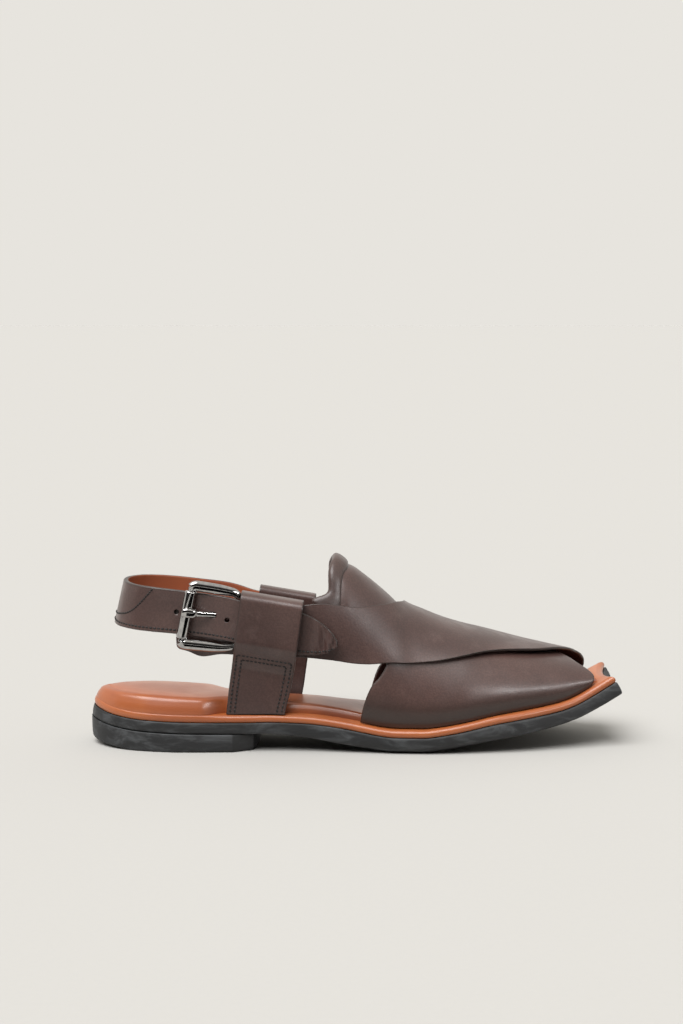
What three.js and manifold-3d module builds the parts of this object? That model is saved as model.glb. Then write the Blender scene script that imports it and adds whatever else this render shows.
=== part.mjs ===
// A right peshawari chappal: two crossed leather bands on a flat tan footbed, a rubber sole with
// a low heel and a notched toe, and a buckled strap round the heel.
// Millimetres, +X to the toe, +Y to the medial side, +Z up. While the pieces are worked out,
// X is 0 at the back of the heel and Z is 0 on the floor.
import * as THREE from "three";
import { mergeVertices } from "three/addons/utils/BufferGeometryUtils.js";
import Module from "manifold-3d";

// Driving dimensions
const SOLE_LENGTH = 299;
const BALL_WIDTH = 97;
const INSTEP_HEIGHT = 105;
const HEEL_HEIGHT = 10;
const TOE_SPRING = 29;
const OUTSOLE_THICKNESS = 6.2;
const OUTSOLE_BALL_EXTRA = 1.2;
const RIM_THICKNESS = 4;
const RIM_ROUNDING = 1.1;
const TOE_NOTCH = 3.6;
const HEEL_ROUNDING = 51;
const BREAST_CORNER = 81;
const BREAST_DEPTH = 15;
const FOOTBED_HEEL_THICKNESS = 9.5;
const FOOTBED_FRONT_THICKNESS = 2.4;
const FOOTBED_DOME = 0.8;
const FOOTBED_SIDE_INSET = 8;
const FOOTBED_FRONT_INSET = 9.6;
const FOOTBED_HEEL_INSET = 0.9;
const FOOTBED_TOE_INSET = 7;
const BAND_THICKNESS = 2;
const BAND_OVERLAP = 0.6;
const EDGE_LIFT = 1.5;
const TUCK_IN = 3;
const TUCK_HEIGHT = 12;
const FAR_TAIL_DROP = 0.035;
const FAR_FOOT_SHIFT = 6;
const FAR_THROAT_SHIFT = 3;
const TONGUE_THICKNESS = 2;
const COLLAR_WIDTH = 8.6;
const COLLAR_THICKNESS = 5.2;
const COLLAR_CREST_SHIFT = 4.4;
const COLLAR_FLARE = 7;
const SIDE_STRAP_WIDTH = 32.5;
const SIDE_STRAP_THICKNESS = 2;
const STITCHED_OVERLAP = 0.5;
const FOLD_ROUNDNESS = 0.65;
const SIDE_STRAP_LEAN = 0.138;
const SIDE_STRAP_TILT = 0.17;
const HEEL_STRAP_WIDTH = 24.5;
const HEEL_STRAP_THICKNESS = 2.8;
const HOLE_DIAMETER = 2.8;
const HOLE_SPACING = 9.4;
const HOLE_PLACES = [0.7, -1.3, -2.3];
const ROLLER_DIAMETER = 6;
const ROLLER_LENGTH = 26.2;
const AXLE_DIAMETER = 3;
const BUCKLE_ROD = 6.2;
const BUCKLE_DEPTH = 4.4;
const BUCKLE_TILT = THREE.MathUtils.degToRad(7.4);
const PRONG_WIDTH = 3.2;
const PRONG_THICKNESS = 2.2;
const PRONG_RAISED = 1.6;

// Clearances
const SEAM = 0.3;
const TONGUE_GAP = 0.55;
const ROLLER_GAP = 0.3;
const PRONG_GAP = 0.35;

// Mesh fineness
const SOLE_COLUMNS = 4;
const BAND_STEPS_PER_ROW = 2;
const BAND_COLUMNS = 9;
const SLIVER = 0.02;

// Sole along its length: share of SOLE_LENGTH, of HEEL_HEIGHT and of TOE_SPRING
const SOLE_PROFILE = [
  { along: 0, heel: 1.18, toe: 0 },
  { along: 0.1, heel: 1.1, toe: 0 },
  { along: 0.2, heel: 1.02, toe: 0 },
  { along: 0.27, heel: 1, toe: 0 },
  { along: 0.325, heel: 1, toe: 0 },
  { along: 0.395, heel: 0.84, toe: 0 },
  { along: 0.472, heel: 0.46, toe: 0 },
  { along: 0.52, heel: 0.19, toe: 0 },
  { along: 0.55, heel: 0.05, toe: 0 },
  { along: 0.574, heel: 0, toe: 0 },
  { along: 0.626, heel: 0, toe: 0 },
  { along: 0.66, heel: 0, toe: 0.04 },
  { along: 0.702, heel: 0, toe: 0.115 },
  { along: 0.736, heel: 0, toe: 0.19 },
  { along: 0.766, heel: 0, toe: 0.255 },
  { along: 0.803, heel: 0, toe: 0.318 },
  { along: 0.839, heel: 0, toe: 0.388 },
  { along: 0.88, heel: 0, toe: 0.482 },
  { along: 0.918, heel: 0, toe: 0.603 },
  { along: 0.956, heel: 0, toe: 0.762 },
  { along: 1, heel: 0, toe: 1 },
];

// Outline of the sole: half widths as shares of BALL_WIDTH, before the heel is rounded
const SOLE_OUTLINE = [
  { along: 0, lateral: 0.32, medial: 0.3 },
  { along: 0.12, lateral: 0.325, medial: 0.305 },
  { along: 0.185, lateral: 0.335, medial: 0.31 },
  { along: 0.27, lateral: 0.33, medial: 0.29 },
  { along: 0.35, lateral: 0.32, medial: 0.262 },
  { along: 0.4, lateral: 0.322, medial: 0.25 },
  { along: 0.45, lateral: 0.333, medial: 0.255 },
  { along: 0.5, lateral: 0.355, medial: 0.32 },
  { along: 0.57, lateral: 0.381, medial: 0.455 },
  { along: 0.635, lateral: 0.392, medial: 0.565 },
  { along: 0.69, lateral: 0.387, medial: 0.608 },
  { along: 0.736, lateral: 0.371, medial: 0.606 },
  { along: 0.803, lateral: 0.335, medial: 0.565 },
  { along: 0.87, lateral: 0.283, medial: 0.48 },
  { along: 0.92, lateral: 0.237, medial: 0.4 },
  { along: 0.953, lateral: 0.207, medial: 0.35 },
  { along: 1, lateral: 0.184, medial: 0.308 },
];

// Stations where the sole is cut across, close together where the heel is round
const SOLE_STATIONS = [
  0.0006, 0.004, 0.013, 0.028, 0.05, 0.08, 0.115, 0.155, 0.2, 0.24, 0.27, 0.3, 0.34, 0.375, 0.41,
  0.445, 0.48, 0.51, 0.535, 0.555, 0.574, 0.6, 0.626, 0.645, 0.67, 0.702, 0.735, 0.766, 0.8, 0.839,
  0.876, 0.913, 0.94, 0.965, 0.985, 1,
];

// Footbed along its length: thickness from heel (1) to front (0), how far its side is set in,
// and the share of its thickness lost on the medial side
const FOOTBED = [
  { along: 0, thick: 0.98, side: 0, front: 0, fall: 0.1 },
  { along: 0.1, thick: 1, side: 0, front: 0, fall: 0.14 },
  { along: 0.215, thick: 0.9, side: 0, front: 0, fall: 0.24 },
  { along: 0.262, thick: 0.8, side: 1, front: 0, fall: 0.3 },
  { along: 0.35, thick: 0.44, side: 1, front: 0, fall: 0.32 },
  { along: 0.45, thick: 0.3, side: 1, front: 0.7, fall: 0.2 },
  { along: 0.55, thick: 0.15, side: 1, front: 1, fall: 0.1 },
  { along: 0.66, thick: 0, side: 1, front: 1, fall: 0 },
  { along: 1, thick: 0, side: 1, front: 1, fall: 0 },
];

// The last: crest height as a share of INSTEP_HEIGHT, half widths as shares of BALL_WIDTH,
// and how square the section is
const LAST = [
  { along: 0.16, crest: 1.083, lateral: 0.279, medial: 0.27, square: 4 },
  { along: 0.35, crest: 1.083, lateral: 0.285, medial: 0.285, square: 4 },
  { along: 0.4, crest: 1.073, lateral: 0.294, medial: 0.288, square: 3.6 },
  { along: 0.435, crest: 1.056, lateral: 0.3, medial: 0.292, square: 3.15 },
  { along: 0.462, crest: 1.022, lateral: 0.305, medial: 0.298, square: 2.85 },
  { along: 0.495, crest: 0.953, lateral: 0.318, medial: 0.315, square: 2.55 },
  { along: 0.527, crest: 0.882, lateral: 0.33, medial: 0.35, square: 2.4 },
  { along: 0.56, crest: 0.799, lateral: 0.341, medial: 0.412, square: 2.35 },
  { along: 0.592, crest: 0.712, lateral: 0.349, medial: 0.47, square: 2.3 },
  { along: 0.622, crest: 0.673, lateral: 0.356, medial: 0.512, square: 2.3 },
  { along: 0.659, crest: 0.627, lateral: 0.361, medial: 0.548, square: 2.3 },
  { along: 0.696, crest: 0.592, lateral: 0.361, medial: 0.562, square: 2.3 },
  { along: 0.736, crest: 0.563, lateral: 0.345, medial: 0.557, square: 2.3 },
  { along: 0.773, crest: 0.534, lateral: 0.325, medial: 0.541, square: 2.3 },
  { along: 0.809, crest: 0.505, lateral: 0.299, medial: 0.51, square: 2.3 },
  { along: 0.85, crest: 0.476, lateral: 0.268, medial: 0.459, square: 2.3 },
  { along: 0.886, crest: 0.45, lateral: 0.237, medial: 0.417, square: 2.3 },
  { along: 0.916, crest: 0.426, lateral: 0.201, medial: 0.376, square: 2.3 },
  { along: 0.95, crest: 0.393, lateral: 0.165, medial: 0.314, square: 2.3 },
  { along: 0.97, crest: 0.378, lateral: 0.15, medial: 0.285, square: 2.3 },
];

// Edges of one crossed band, from its foot over the crest to the end of its tail.
// Turn is 0 at the band's own foot, 0.5 on the crest and 1 at the foot of the other side.
const BAND_EDGES = [
  { front: 0.937, frontTurn: 0, rear: 0.508, rearTurn: 0 },
  { front: 0.942, frontTurn: 0.05, rear: 0.515, rearTurn: 0.03 },
  { front: 0.945, frontTurn: 0.12, rear: 0.528, rearTurn: 0.07 },
  { front: 0.944, frontTurn: 0.2, rear: 0.547, rearTurn: 0.11 },
  { front: 0.935, frontTurn: 0.29, rear: 0.561, rearTurn: 0.17 },
  { front: 0.917, frontTurn: 0.38, rear: 0.568, rearTurn: 0.25 },
  { front: 0.903, frontTurn: 0.46, rear: 0.5795, rearTurn: 0.345 },
  { front: 0.88, frontTurn: 0.535, rear: 0.5875, rearTurn: 0.435 },
  { front: 0.845, frontTurn: 0.61, rear: 0.5845, rearTurn: 0.53 },
  { front: 0.789, frontTurn: 0.664, rear: 0.566, rearTurn: 0.62 },
  { front: 0.719, frontTurn: 0.728, rear: 0.539, rearTurn: 0.684 },
  { front: 0.652, frontTurn: 0.782, rear: 0.51, rearTurn: 0.735 },
  { front: 0.585, frontTurn: 0.823, rear: 0.472, rearTurn: 0.783 },
  { front: 0.522, frontTurn: 0.879, rear: 0.431, rearTurn: 0.818 },
  { front: 0.462, frontTurn: 0.923, rear: 0.391, rearTurn: 0.85 },
  { front: 0.398, frontTurn: 0.952, rear: 0.351, rearTurn: 0.86 },
  { front: 0.344, frontTurn: 0.961, rear: 0.311, rearTurn: 0.868 },
  { front: 0.298, frontTurn: 0.96, rear: 0.271, rearTurn: 0.876 },
  { front: 0.254, frontTurn: 0.958, rear: 0.234, rearTurn: 0.879 },
  { front: 0.217, frontTurn: 0.962, rear: 0.207, rearTurn: 0.883 },
  { front: 0.191, frontTurn: 0.955, rear: 0.187, rearTurn: 0.898 },
  { front: 0.172, frontTurn: 0.95, rear: 0.172, rearTurn: 0.916 },
  { front: 0.169, frontTurn: 0.937, rear: 0.169, rearTurn: 0.923 },
];
const UNDER_BAND_ROWS = 17;

// Tongue from its lateral end over the crest to its medial end
const TONGUE_START = 0.17;
const TONGUE_STEPS = 26;
const TONGUE_REAR = 0.449;
const TONGUE_FRONT = 0.652;

// Heel strap from the tip of its tail, through the buckle, round the heel and into the far loop.
// Length and side are shares of SOLE_LENGTH and BALL_WIDTH, heights of INSTEP_HEIGHT,
// and lean is a share of the strap's width.
const HEEL_STRAP = [
  { along: 0.467, side: -0.372, low: 0.574, high: 0.598, lean: 0 },
  { along: 0.457, side: -0.367, low: 0.55, high: 0.643, lean: 0 },
  { along: 0.438, side: -0.36, low: 0.529, high: 0.692, lean: 0 },
  { along: 0.416, side: -0.353, low: 0.523, high: 0.728, lean: 0 },
  { along: 0.392, side: -0.35, low: 0.526, high: 0.752, lean: 0 },
  { along: 0.36, side: -0.358, low: 0.543, high: 0.773, lean: 0 },
  { along: 0.325, side: -0.374, low: 0.565, high: 0.797, lean: 0 },
  { along: 0.298, side: -0.381, low: 0.578, high: 0.808, lean: 0 },
  { along: 0.27, side: -0.372, low: 0.597, high: 0.828, lean: 0 },
  { along: 0.235, side: -0.347, low: 0.611, high: 0.841, lean: 0 },
  { along: 0.19, side: -0.318, low: 0.623, high: 0.855, lean: 0 },
  { along: 0.158, side: -0.31, low: 0.632, high: 0.864, lean: 0.02 },
  { along: 0.125, side: -0.296, low: 0.639, high: 0.873, lean: 0.06 },
  { along: 0.096, side: -0.262, low: 0.646, high: 0.879, lean: 0.12 },
  { along: 0.072, side: -0.19, low: 0.653, high: 0.884, lean: 0.19 },
  { along: 0.062, side: -0.095, low: 0.657, high: 0.886, lean: 0.22 },
  { along: 0.061, side: 0.01, low: 0.656, high: 0.886, lean: 0.22 },
  { along: 0.072, side: 0.115, low: 0.653, high: 0.884, lean: 0.19 },
  { along: 0.1, side: 0.2, low: 0.646, high: 0.879, lean: 0.13 },
  { along: 0.145, side: 0.265, low: 0.632, high: 0.865, lean: 0.07 },
  { along: 0.2, side: 0.302, low: 0.61, high: 0.843, lean: 0.03 },
  { along: 0.26, side: 0.322, low: 0.586, high: 0.816, lean: 0 },
  { along: 0.31, side: 0.329, low: 0.541, high: 0.771, lean: 0 },
  { along: 0.36, side: 0.333, low: 0.521, high: 0.748, lean: 0 },
  { along: 0.395, side: 0.337, low: 0.514, high: 0.736, lean: 0 },
];

// The buckle frame, from the middle of the roller's axle to the middle of the heel bar.
// Run is a share of half the frame's length, rise and fall of half its height above and below
// its middle, and rod of the rod's size.
const FRAME_LENGTH = 33.6;
const FRAME_HEIGHT = 33;
const FRAME_LINE = [
  { run: -1, rise: 0, fall: 0, rod: 0.48 },
  { run: -1, rise: 0.82, fall: 0.82, rod: 0.48 },
  { run: -0.985, rise: 0.9, fall: 0.9, rod: 0.92 },
  { run: -0.9, rise: 0.99, fall: 0.99, rod: 1 },
  { run: -0.7, rise: 0.995, fall: 0.995, rod: 1 },
  { run: 0.05, rise: 0.955, fall: 0.985, rod: 0.93 },
  { run: 0.41, rise: 0.905, fall: 0.965, rod: 0.74 },
  { run: 0.81, rise: 0.6, fall: 0.86, rod: 0.56 },
  { run: 1, rise: 0.38, fall: 0.45, rod: 0.5 },
  { run: 1, rise: 0, fall: 0, rod: 0.48 },
];

const LEATHER = { color: "#62524a", roughness: 0.55, metalness: 0 };
const DARK_LEATHER = { color: "#56473f", roughness: 0.55, metalness: 0 };
const TAN_LEATHER = { color: "#c87a50", roughness: 0.4, metalness: 0 };
const RUBBER = { color: "#35373a", roughness: 0.7, metalness: 0 };
const GUNMETAL = { color: "#6b6d70", roughness: 0.25, metalness: 1 };

const wasm = await Module();
wasm.setup();

// Smooth value of one column of a table, with no overshoot between its rows
function readTable(rows, column, along) {
  const last = rows.length - 1;
  const place = THREE.MathUtils.clamp(along, rows[0].along, rows[last].along);
  let i = 0;
  while (i < last - 1 && place > rows[i + 1].along) i += 1;
  const rise = (k) => (rows[k + 1][column] - rows[k][column]) / (rows[k + 1].along - rows[k].along);
  const slope = (k) => {
    if (k === 0) return rise(0);
    if (k === last) return rise(last - 1);
    const before = rise(k - 1);
    const after = rise(k);
    return before * after <= 0 ? 0 : (2 * before * after) / (before + after);
  };
  const span = rows[i + 1].along - rows[i].along;
  const t = (place - rows[i].along) / span;
  const t2 = t * t;
  const t3 = t2 * t;
  const start = rows[i][column] * (2 * t3 - 3 * t2 + 1) + slope(i) * span * (t3 - 2 * t2 + t);
  const end = rows[i + 1][column] * (3 * t2 - 2 * t3) + slope(i + 1) * span * (t3 - t2);
  return start + end;
}

function smooth(low, high, value) {
  return THREE.MathUtils.smoothstep(value, low, high);
}

// Turns a closed body so that its faces point out
function facingOut(geometry) {
  const p = geometry.attributes.position;
  const index = geometry.index;
  const a = new THREE.Vector3();
  const b = new THREE.Vector3();
  const c = new THREE.Vector3();
  let volume = 0;
  for (let i = 0; i < index.count; i += 3) {
    a.fromBufferAttribute(p, index.getX(i));
    b.fromBufferAttribute(p, index.getX(i + 1));
    c.fromBufferAttribute(p, index.getX(i + 2));
    volume += a.dot(b.cross(c));
  }
  if (volume >= 0) return geometry;
  for (let i = 0; i < index.count; i += 3) {
    const first = index.getX(i);
    index.setX(i, index.getX(i + 1));
    index.setX(i + 1, first);
  }
  return geometry;
}

function bodyFrom(points, triangles) {
  const geometry = new THREE.BufferGeometry();
  const flat = points.flatMap((p) => [p.x, p.y, p.z]);
  geometry.setAttribute("position", new THREE.Float32BufferAttribute(flat, 3));
  geometry.setIndex(triangles);
  return facingOut(geometry);
}

function quad(triangles, a, b, c, d) {
  triangles.push(a, b, c, a, c, d);
}

// Edge of a grid as a loop of [row, column] places
function rimOf(rows, columns) {
  const rim = [];
  for (let j = 0; j < columns; j += 1) rim.push([0, j]);
  for (let i = 0; i < rows; i += 1) rim.push([i, columns]);
  for (let j = columns; j > 0; j -= 1) rim.push([rows, j]);
  for (let i = rows; i > 0; i -= 1) rim.push([i, 0]);
  return rim;
}

// A plate between a bottom grid and a top grid, with any grids between them shaping its edge
function plateSolid(layers) {
  const rows = layers[0].length - 1;
  const columns = layers[0][0].length - 1;
  const rim = rimOf(rows, columns);
  const points = [];
  const triangles = [];
  const place = (i, j) => i * (columns + 1) + j;
  const loops = [];
  const top = layers.length - 1;
  layers.forEach((grid, level) => {
    const start = points.length;
    if (level === 0 || level === top) {
      grid.forEach((row) => points.push(...row));
      loops.push(rim.map(([i, j]) => start + place(i, j)));
      for (let i = 0; i < rows; i += 1) {
        for (let j = 0; j < columns; j += 1) {
          const corners = [place(i, j), place(i + 1, j), place(i + 1, j + 1), place(i, j + 1)];
          const [a, b, c, d] = corners.map((k) => start + k);
          if (level === top) quad(triangles, a, b, c, d);
          else quad(triangles, d, c, b, a);
        }
      }
    } else {
      rim.forEach(([i, j]) => points.push(grid[i][j]));
      loops.push(rim.map((_, k) => start + k));
    }
  });
  for (let level = 0; level < top; level += 1) {
    for (let k = 0; k < rim.length; k += 1) {
      const n = (k + 1) % rim.length;
      quad(triangles, loops[level][n], loops[level][k], loops[level + 1][k], loops[level + 1][n]);
    }
  }
  return bodyFrom(points, triangles);
}

// A body through a list of rings, closed on itself or with a flat end at each side
function loftSolid(rings, closed = false) {
  const around = rings[0].length;
  const points = rings.flat();
  const triangles = [];
  const count = closed ? rings.length : rings.length - 1;
  for (let i = 0; i < count; i += 1) {
    const here = i * around;
    const next = ((i + 1) % rings.length) * around;
    for (let j = 0; j < around; j += 1) {
      const k = (j + 1) % around;
      quad(triangles, here + j, here + k, next + k, next + j);
    }
  }
  if (!closed) {
    const end = (rings.length - 1) * around;
    for (let j = 1; j < around - 1; j += 1) {
      triangles.push(0, j + 1, j);
      triangles.push(end, end + j, end + j + 1);
    }
  }
  return bodyFrom(points, triangles);
}

function toSolid(geometry) {
  const bare = geometry.clone();
  bare.deleteAttribute("normal");
  bare.deleteAttribute("uv");
  const merged = mergeVertices(bare, 1e-4);
  const mesh = new wasm.Mesh({
    numProp: 3,
    vertProperties: new Float32Array(merged.attributes.position.array),
    triVerts: new Uint32Array(merged.index.array),
  });
  return new wasm.Manifold(mesh);
}

function toGeometry(solid) {
  const mesh = solid.simplify(SLIVER).getMesh();
  const geometry = new THREE.BufferGeometry();
  geometry.setAttribute("position", new THREE.BufferAttribute(mesh.vertProperties, 3));
  geometry.setIndex(new THREE.BufferAttribute(mesh.triVerts, 1));
  return geometry;
}

// Height of the sole's underside
function bottomHeight(run) {
  const along = run / SOLE_LENGTH;
  const heel = HEEL_HEIGHT * readTable(SOLE_PROFILE, "heel", along);
  const toe = TOE_SPRING * readTable(SOLE_PROFILE, "toe", along);
  return heel + toe;
}

function bottomSlope(run) {
  const step = SOLE_LENGTH / 150;
  const low = Math.max(run - step, 0);
  const high = Math.min(run + step, SOLE_LENGTH);
  return Math.atan((bottomHeight(high) - bottomHeight(low)) / (high - low));
}

// A point of the sole, up square to its underside
function solePoint(run, side, up) {
  const slope = bottomSlope(run);
  const x = run - up * Math.sin(slope);
  const z = bottomHeight(run) + up * Math.cos(slope);
  return new THREE.Vector3(x, side, z);
}

function outsoleThickness(run) {
  const along = run / SOLE_LENGTH;
  const ball = smooth(0.3, 0.5, along) * (1 - smooth(0.75, 1, along));
  return OUTSOLE_THICKNESS + OUTSOLE_BALL_EXTRA * ball;
}

function midsoleTopUp(run) {
  return outsoleThickness(run) + SEAM + RIM_THICKNESS;
}

// Height of the midsole's top at a distance from the back of the heel
function midsoleTop(x) {
  let run = x;
  for (let i = 0; i < 6; i += 1) {
    run = x + midsoleTopUp(run) * Math.sin(bottomSlope(run));
  }
  return solePoint(run, 0, midsoleTopUp(run)).z;
}

function halfWidth(run, column) {
  const width = BALL_WIDTH * readTable(SOLE_OUTLINE, column, run / SOLE_LENGTH);
  const left = Math.max(1 - run / HEEL_ROUNDING, 0);
  return width * Math.sqrt(Math.max(1 - left * left, 0));
}

// Place of one point of the sole's outline, or between its two sides, set in by a distance
function outlinePlace(station, across, inset) {
  const run = station * SOLE_LENGTH;
  const step = 0.05;
  const sides = ["lateral", "medial"].map((column) => {
    const sign = column === "lateral" ? -1 : 1;
    const before = halfWidth(Math.max(run - step, 0), column);
    const slope = (halfWidth(run + step, column) - before) / (run + step - Math.max(run - step, 0));
    const length = Math.hypot(slope, 1);
    const moved = inset(station);
    return {
      run: run + (moved * slope) / length,
      side: sign * (halfWidth(run, column) - moved / length),
    };
  });
  const mix = (across + 1) / 2;
  const side = THREE.MathUtils.lerp(sides[0].side, sides[1].side, mix);
  const plain = THREE.MathUtils.lerp(sides[0].run, sides[1].run, mix);
  const fade = smooth(0.9, 1, station);
  const notch = TOE_NOTCH * (1 - across * across);
  return { run: plain - fade * (inset(1) + notch), side };
}

// Grid of the sole's plan at a height above its underside
function soleGrid(inset, up) {
  return SOLE_STATIONS.map((station) => {
    const row = [];
    for (let j = 0; j <= SOLE_COLUMNS; j += 1) {
      const across = -1 + (2 * j) / SOLE_COLUMNS;
      const place = outlinePlace(station, across, inset);
      row.push(solePoint(place.run, place.side, up(place.run, across)));
    }
    return row;
  });
}

function outsole() {
  const flush = () => 0;
  return plateSolid([
    soleGrid(flush, () => 0),
    soleGrid(flush, (run) => outsoleThickness(run)),
  ]);
}

// Rubber heel block with a bowed front whose corners are cut back
function heelBlock() {
  const stations = SOLE_STATIONS.filter((station) => station * SOLE_LENGTH < BREAST_CORNER);
  const rows = stations.map((station) => ({ run: station * SOLE_LENGTH, share: 1, bow: 0 }));
  rows.push({ run: BREAST_CORNER, share: 1, bow: 0 });
  rows.push({ run: BREAST_CORNER + BREAST_DEPTH * 0.8, share: 0.8, bow: BREAST_DEPTH * 0.2 });
  const level = (height) =>
    rows.map((row) => {
      const line = [];
      for (let j = 0; j <= SOLE_COLUMNS; j += 1) {
        const across = -1 + (2 * j) / SOLE_COLUMNS;
        const lateral = -halfWidth(Math.min(row.run, BREAST_CORNER), "lateral");
        const medial = halfWidth(Math.min(row.run, BREAST_CORNER), "medial");
        const side = row.share * THREE.MathUtils.lerp(lateral, medial, (across + 1) / 2);
        const x = row.run + row.bow * (1 - across * across);
        line.push(new THREE.Vector3(x, side, height(x)));
      }
      return line;
    });
  return plateSolid([level(() => 0), level((x) => bottomHeight(x) - SEAM)]);
}

// Leather-covered midsole with a rounded rim
function midsole() {
  const low = (run) => outsoleThickness(run) + SEAM;
  const flush = () => 0;
  return plateSolid([
    soleGrid(() => RIM_ROUNDING / 3, low),
    soleGrid(flush, (run) => low(run) + RIM_THICKNESS * 0.3),
    soleGrid(flush, (run) => low(run) + RIM_THICKNESS * 0.65),
    soleGrid(() => RIM_ROUNDING, midsoleTopUp),
  ]);
}

function footbedInset(station) {
  const side = readTable(FOOTBED, "side", station);
  const front = readTable(FOOTBED, "front", station);
  const set = THREE.MathUtils.lerp(FOOTBED_SIDE_INSET, FOOTBED_FRONT_INSET, front);
  const near = THREE.MathUtils.lerp(FOOTBED_HEEL_INSET, set, side);
  return station > 0.999 ? FOOTBED_TOE_INSET : near;
}

// Thickness of the footbed, less on the medial side behind the ball
function footbedThickness(run, across) {
  const along = run / SOLE_LENGTH;
  const share = readTable(FOOTBED, "thick", along);
  const plain = THREE.MathUtils.lerp(FOOTBED_FRONT_THICKNESS, FOOTBED_HEEL_THICKNESS, share);
  return plain * (1 - (readTable(FOOTBED, "fall", along) * (across + 1)) / 2);
}

// Padded footbed, flush with the rim round the heel and set in further forward
function insole() {
  const low = (run) => midsoleTopUp(run) + SEAM;
  const dome = (across) => FOOTBED_DOME * (1 - across * across);
  const level = (share) => (run, across) => low(run) + footbedThickness(run, across) * share;
  return plateSolid([
    soleGrid(footbedInset, low),
    soleGrid(footbedInset, level(0.62)),
    soleGrid((station) => footbedInset(station) + 0.7, level(0.88)),
    soleGrid(
      (station) => footbedInset(station) + 2.4,
      (run, across) => level(1)(run, across) + dome(across),
    ),
  ]);
}

// A bare point of the last. Turn is 0 at the lateral foot, 0.5 on the crest, 1 at the medial foot.
function lastSurface(x, turn) {
  const along = x / SOLE_LENGTH;
  const floor = midsoleTop(x) + SEAM;
  const rise = INSTEP_HEIGHT * readTable(LAST, "crest", along) - floor;
  const lateral = BALL_WIDTH * readTable(LAST, "lateral", along);
  const medial = BALL_WIDTH * readTable(LAST, "medial", along);
  const power = 2 / readTable(LAST, "square", along);
  const angle = Math.PI * (1 - turn);
  const across = Math.sign(Math.cos(angle)) * Math.abs(Math.cos(angle)) ** power;
  const up = rise * Math.max(Math.sin(angle), 0) ** power;
  const tuck = TUCK_IN * Math.max(1 - up / TUCK_HEIGHT, 0) ** 2;
  const half = (lateral + medial) / 2 - tuck;
  return new THREE.Vector3(x, (medial - lateral) / 2 + half * across, floor + up);
}

// A point off the last, square to it. Near the foot it stays on the midsole.
function lastPoint(x, turn, offset) {
  const t = THREE.MathUtils.clamp(turn, 0, 1);
  const here = lastSurface(x, t);
  const lower = Math.max(t - 0.01, 0);
  const upper = Math.min(t + 0.01, 1);
  const along = lastSurface(x + 1, t).sub(lastSurface(x - 1, t));
  const around = lastSurface(x, upper).sub(lastSurface(x, lower));
  const normal = along.cross(around).normalize();
  const floor = midsoleTop(x) + SEAM;
  normal.z *= Math.min((here.z - floor) / TUCK_HEIGHT, 1);
  here.addScaledVector(normal.normalize(), offset);
  here.z = Math.max(here.z, midsoleTop(here.x) + SEAM);
  return here;
}

const FRONT_EDGE = new THREE.CatmullRomCurve3(
  BAND_EDGES.map((row) => new THREE.Vector3(row.front, row.frontTurn, 0)),
);
const REAR_EDGE = new THREE.CatmullRomCurve3(
  BAND_EDGES.map((row) => new THREE.Vector3(row.rear, row.rearTurn, 0)),
);
FRONT_EDGE.curveType = "catmullrom";
REAR_EDGE.curveType = "catmullrom";

// How far the over band's inner face stands off the last
function overBandBase(along, turn) {
  const raised = BAND_THICKNESS - BAND_OVERLAP;
  const foot = smooth(0.03, 0.12, turn);
  const shield = smooth(0.215, 0.268, along);
  return raised * foot * shield;
}

// One crossed band as a grid of pairs of points, outer and inner
function bandSheet(rowCount, medialFoot) {
  const steps = rowCount * BAND_STEPS_PER_ROW;
  const outer = [];
  const inner = [];
  for (let i = 0; i <= steps; i += 1) {
    const row = i / BAND_STEPS_PER_ROW;
    const u = row / (BAND_EDGES.length - 1);
    const front = FRONT_EDGE.getPoint(u);
    const rear = REAR_EDGE.getPoint(u);
    const farFoot = FAR_FOOT_SHIFT * (1 - smooth(2, 8.5, row));
    const farThroat = FAR_THROAT_SHIFT * smooth(7, 8.5, row) * (1 - smooth(9.5, 11.5, row));
    const shift = (medialFoot ? farFoot : farThroat) / SOLE_LENGTH;
    const lifted = EDGE_LIFT * smooth(3, 7, row) * (1 - smooth(8.5, 13, row));
    const outerRow = [];
    const innerRow = [];
    for (let j = 0; j <= BAND_COLUMNS; j += 1) {
      const v = j / BAND_COLUMNS;
      const along = THREE.MathUtils.lerp(front.x, rear.x + shift, v);
      const plain = THREE.MathUtils.lerp(front.y, rear.y, v);
      const drop = medialFoot ? 0 : FAR_TAIL_DROP * smooth(7.5, 12, row) * v;
      const turn = Math.max(plain, 0) + drop;
      const base = medialFoot ? overBandBase(along, turn) + lifted * (1 - v) ** 4 : 0;
      const side = medialFoot ? 1 - turn : turn;
      outerRow.push(lastPoint(along * SOLE_LENGTH, side, base + BAND_THICKNESS));
      innerRow.push(lastPoint(along * SOLE_LENGTH, side, base));
    }
    outer.push(outerRow);
    inner.push(innerRow);
  }
  return [inner, outer];
}

// The two crossed bands, joined where they cross, open at the toe, the throat and the sides
function upper() {
  const over = plateSolid(bandSheet(BAND_EDGES.length - 1, true));
  const under = plateSolid(bandSheet(UNDER_BAND_ROWS, false));
  return toGeometry(toSolid(under).add(toSolid(over)));
}

// Rear edge of the tongue panel, further forward on the crest
function tongueRear(turn) {
  const crest = smooth(0.3, 0.47, turn) * (1 - smooth(0.53, 0.7, turn));
  return TONGUE_REAR * SOLE_LENGTH + COLLAR_WIDTH + COLLAR_CREST_SHIFT * crest;
}

function tongueTurn(step) {
  return TONGUE_START + ((1 - 2 * TONGUE_START) * step) / TONGUE_STEPS;
}

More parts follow.
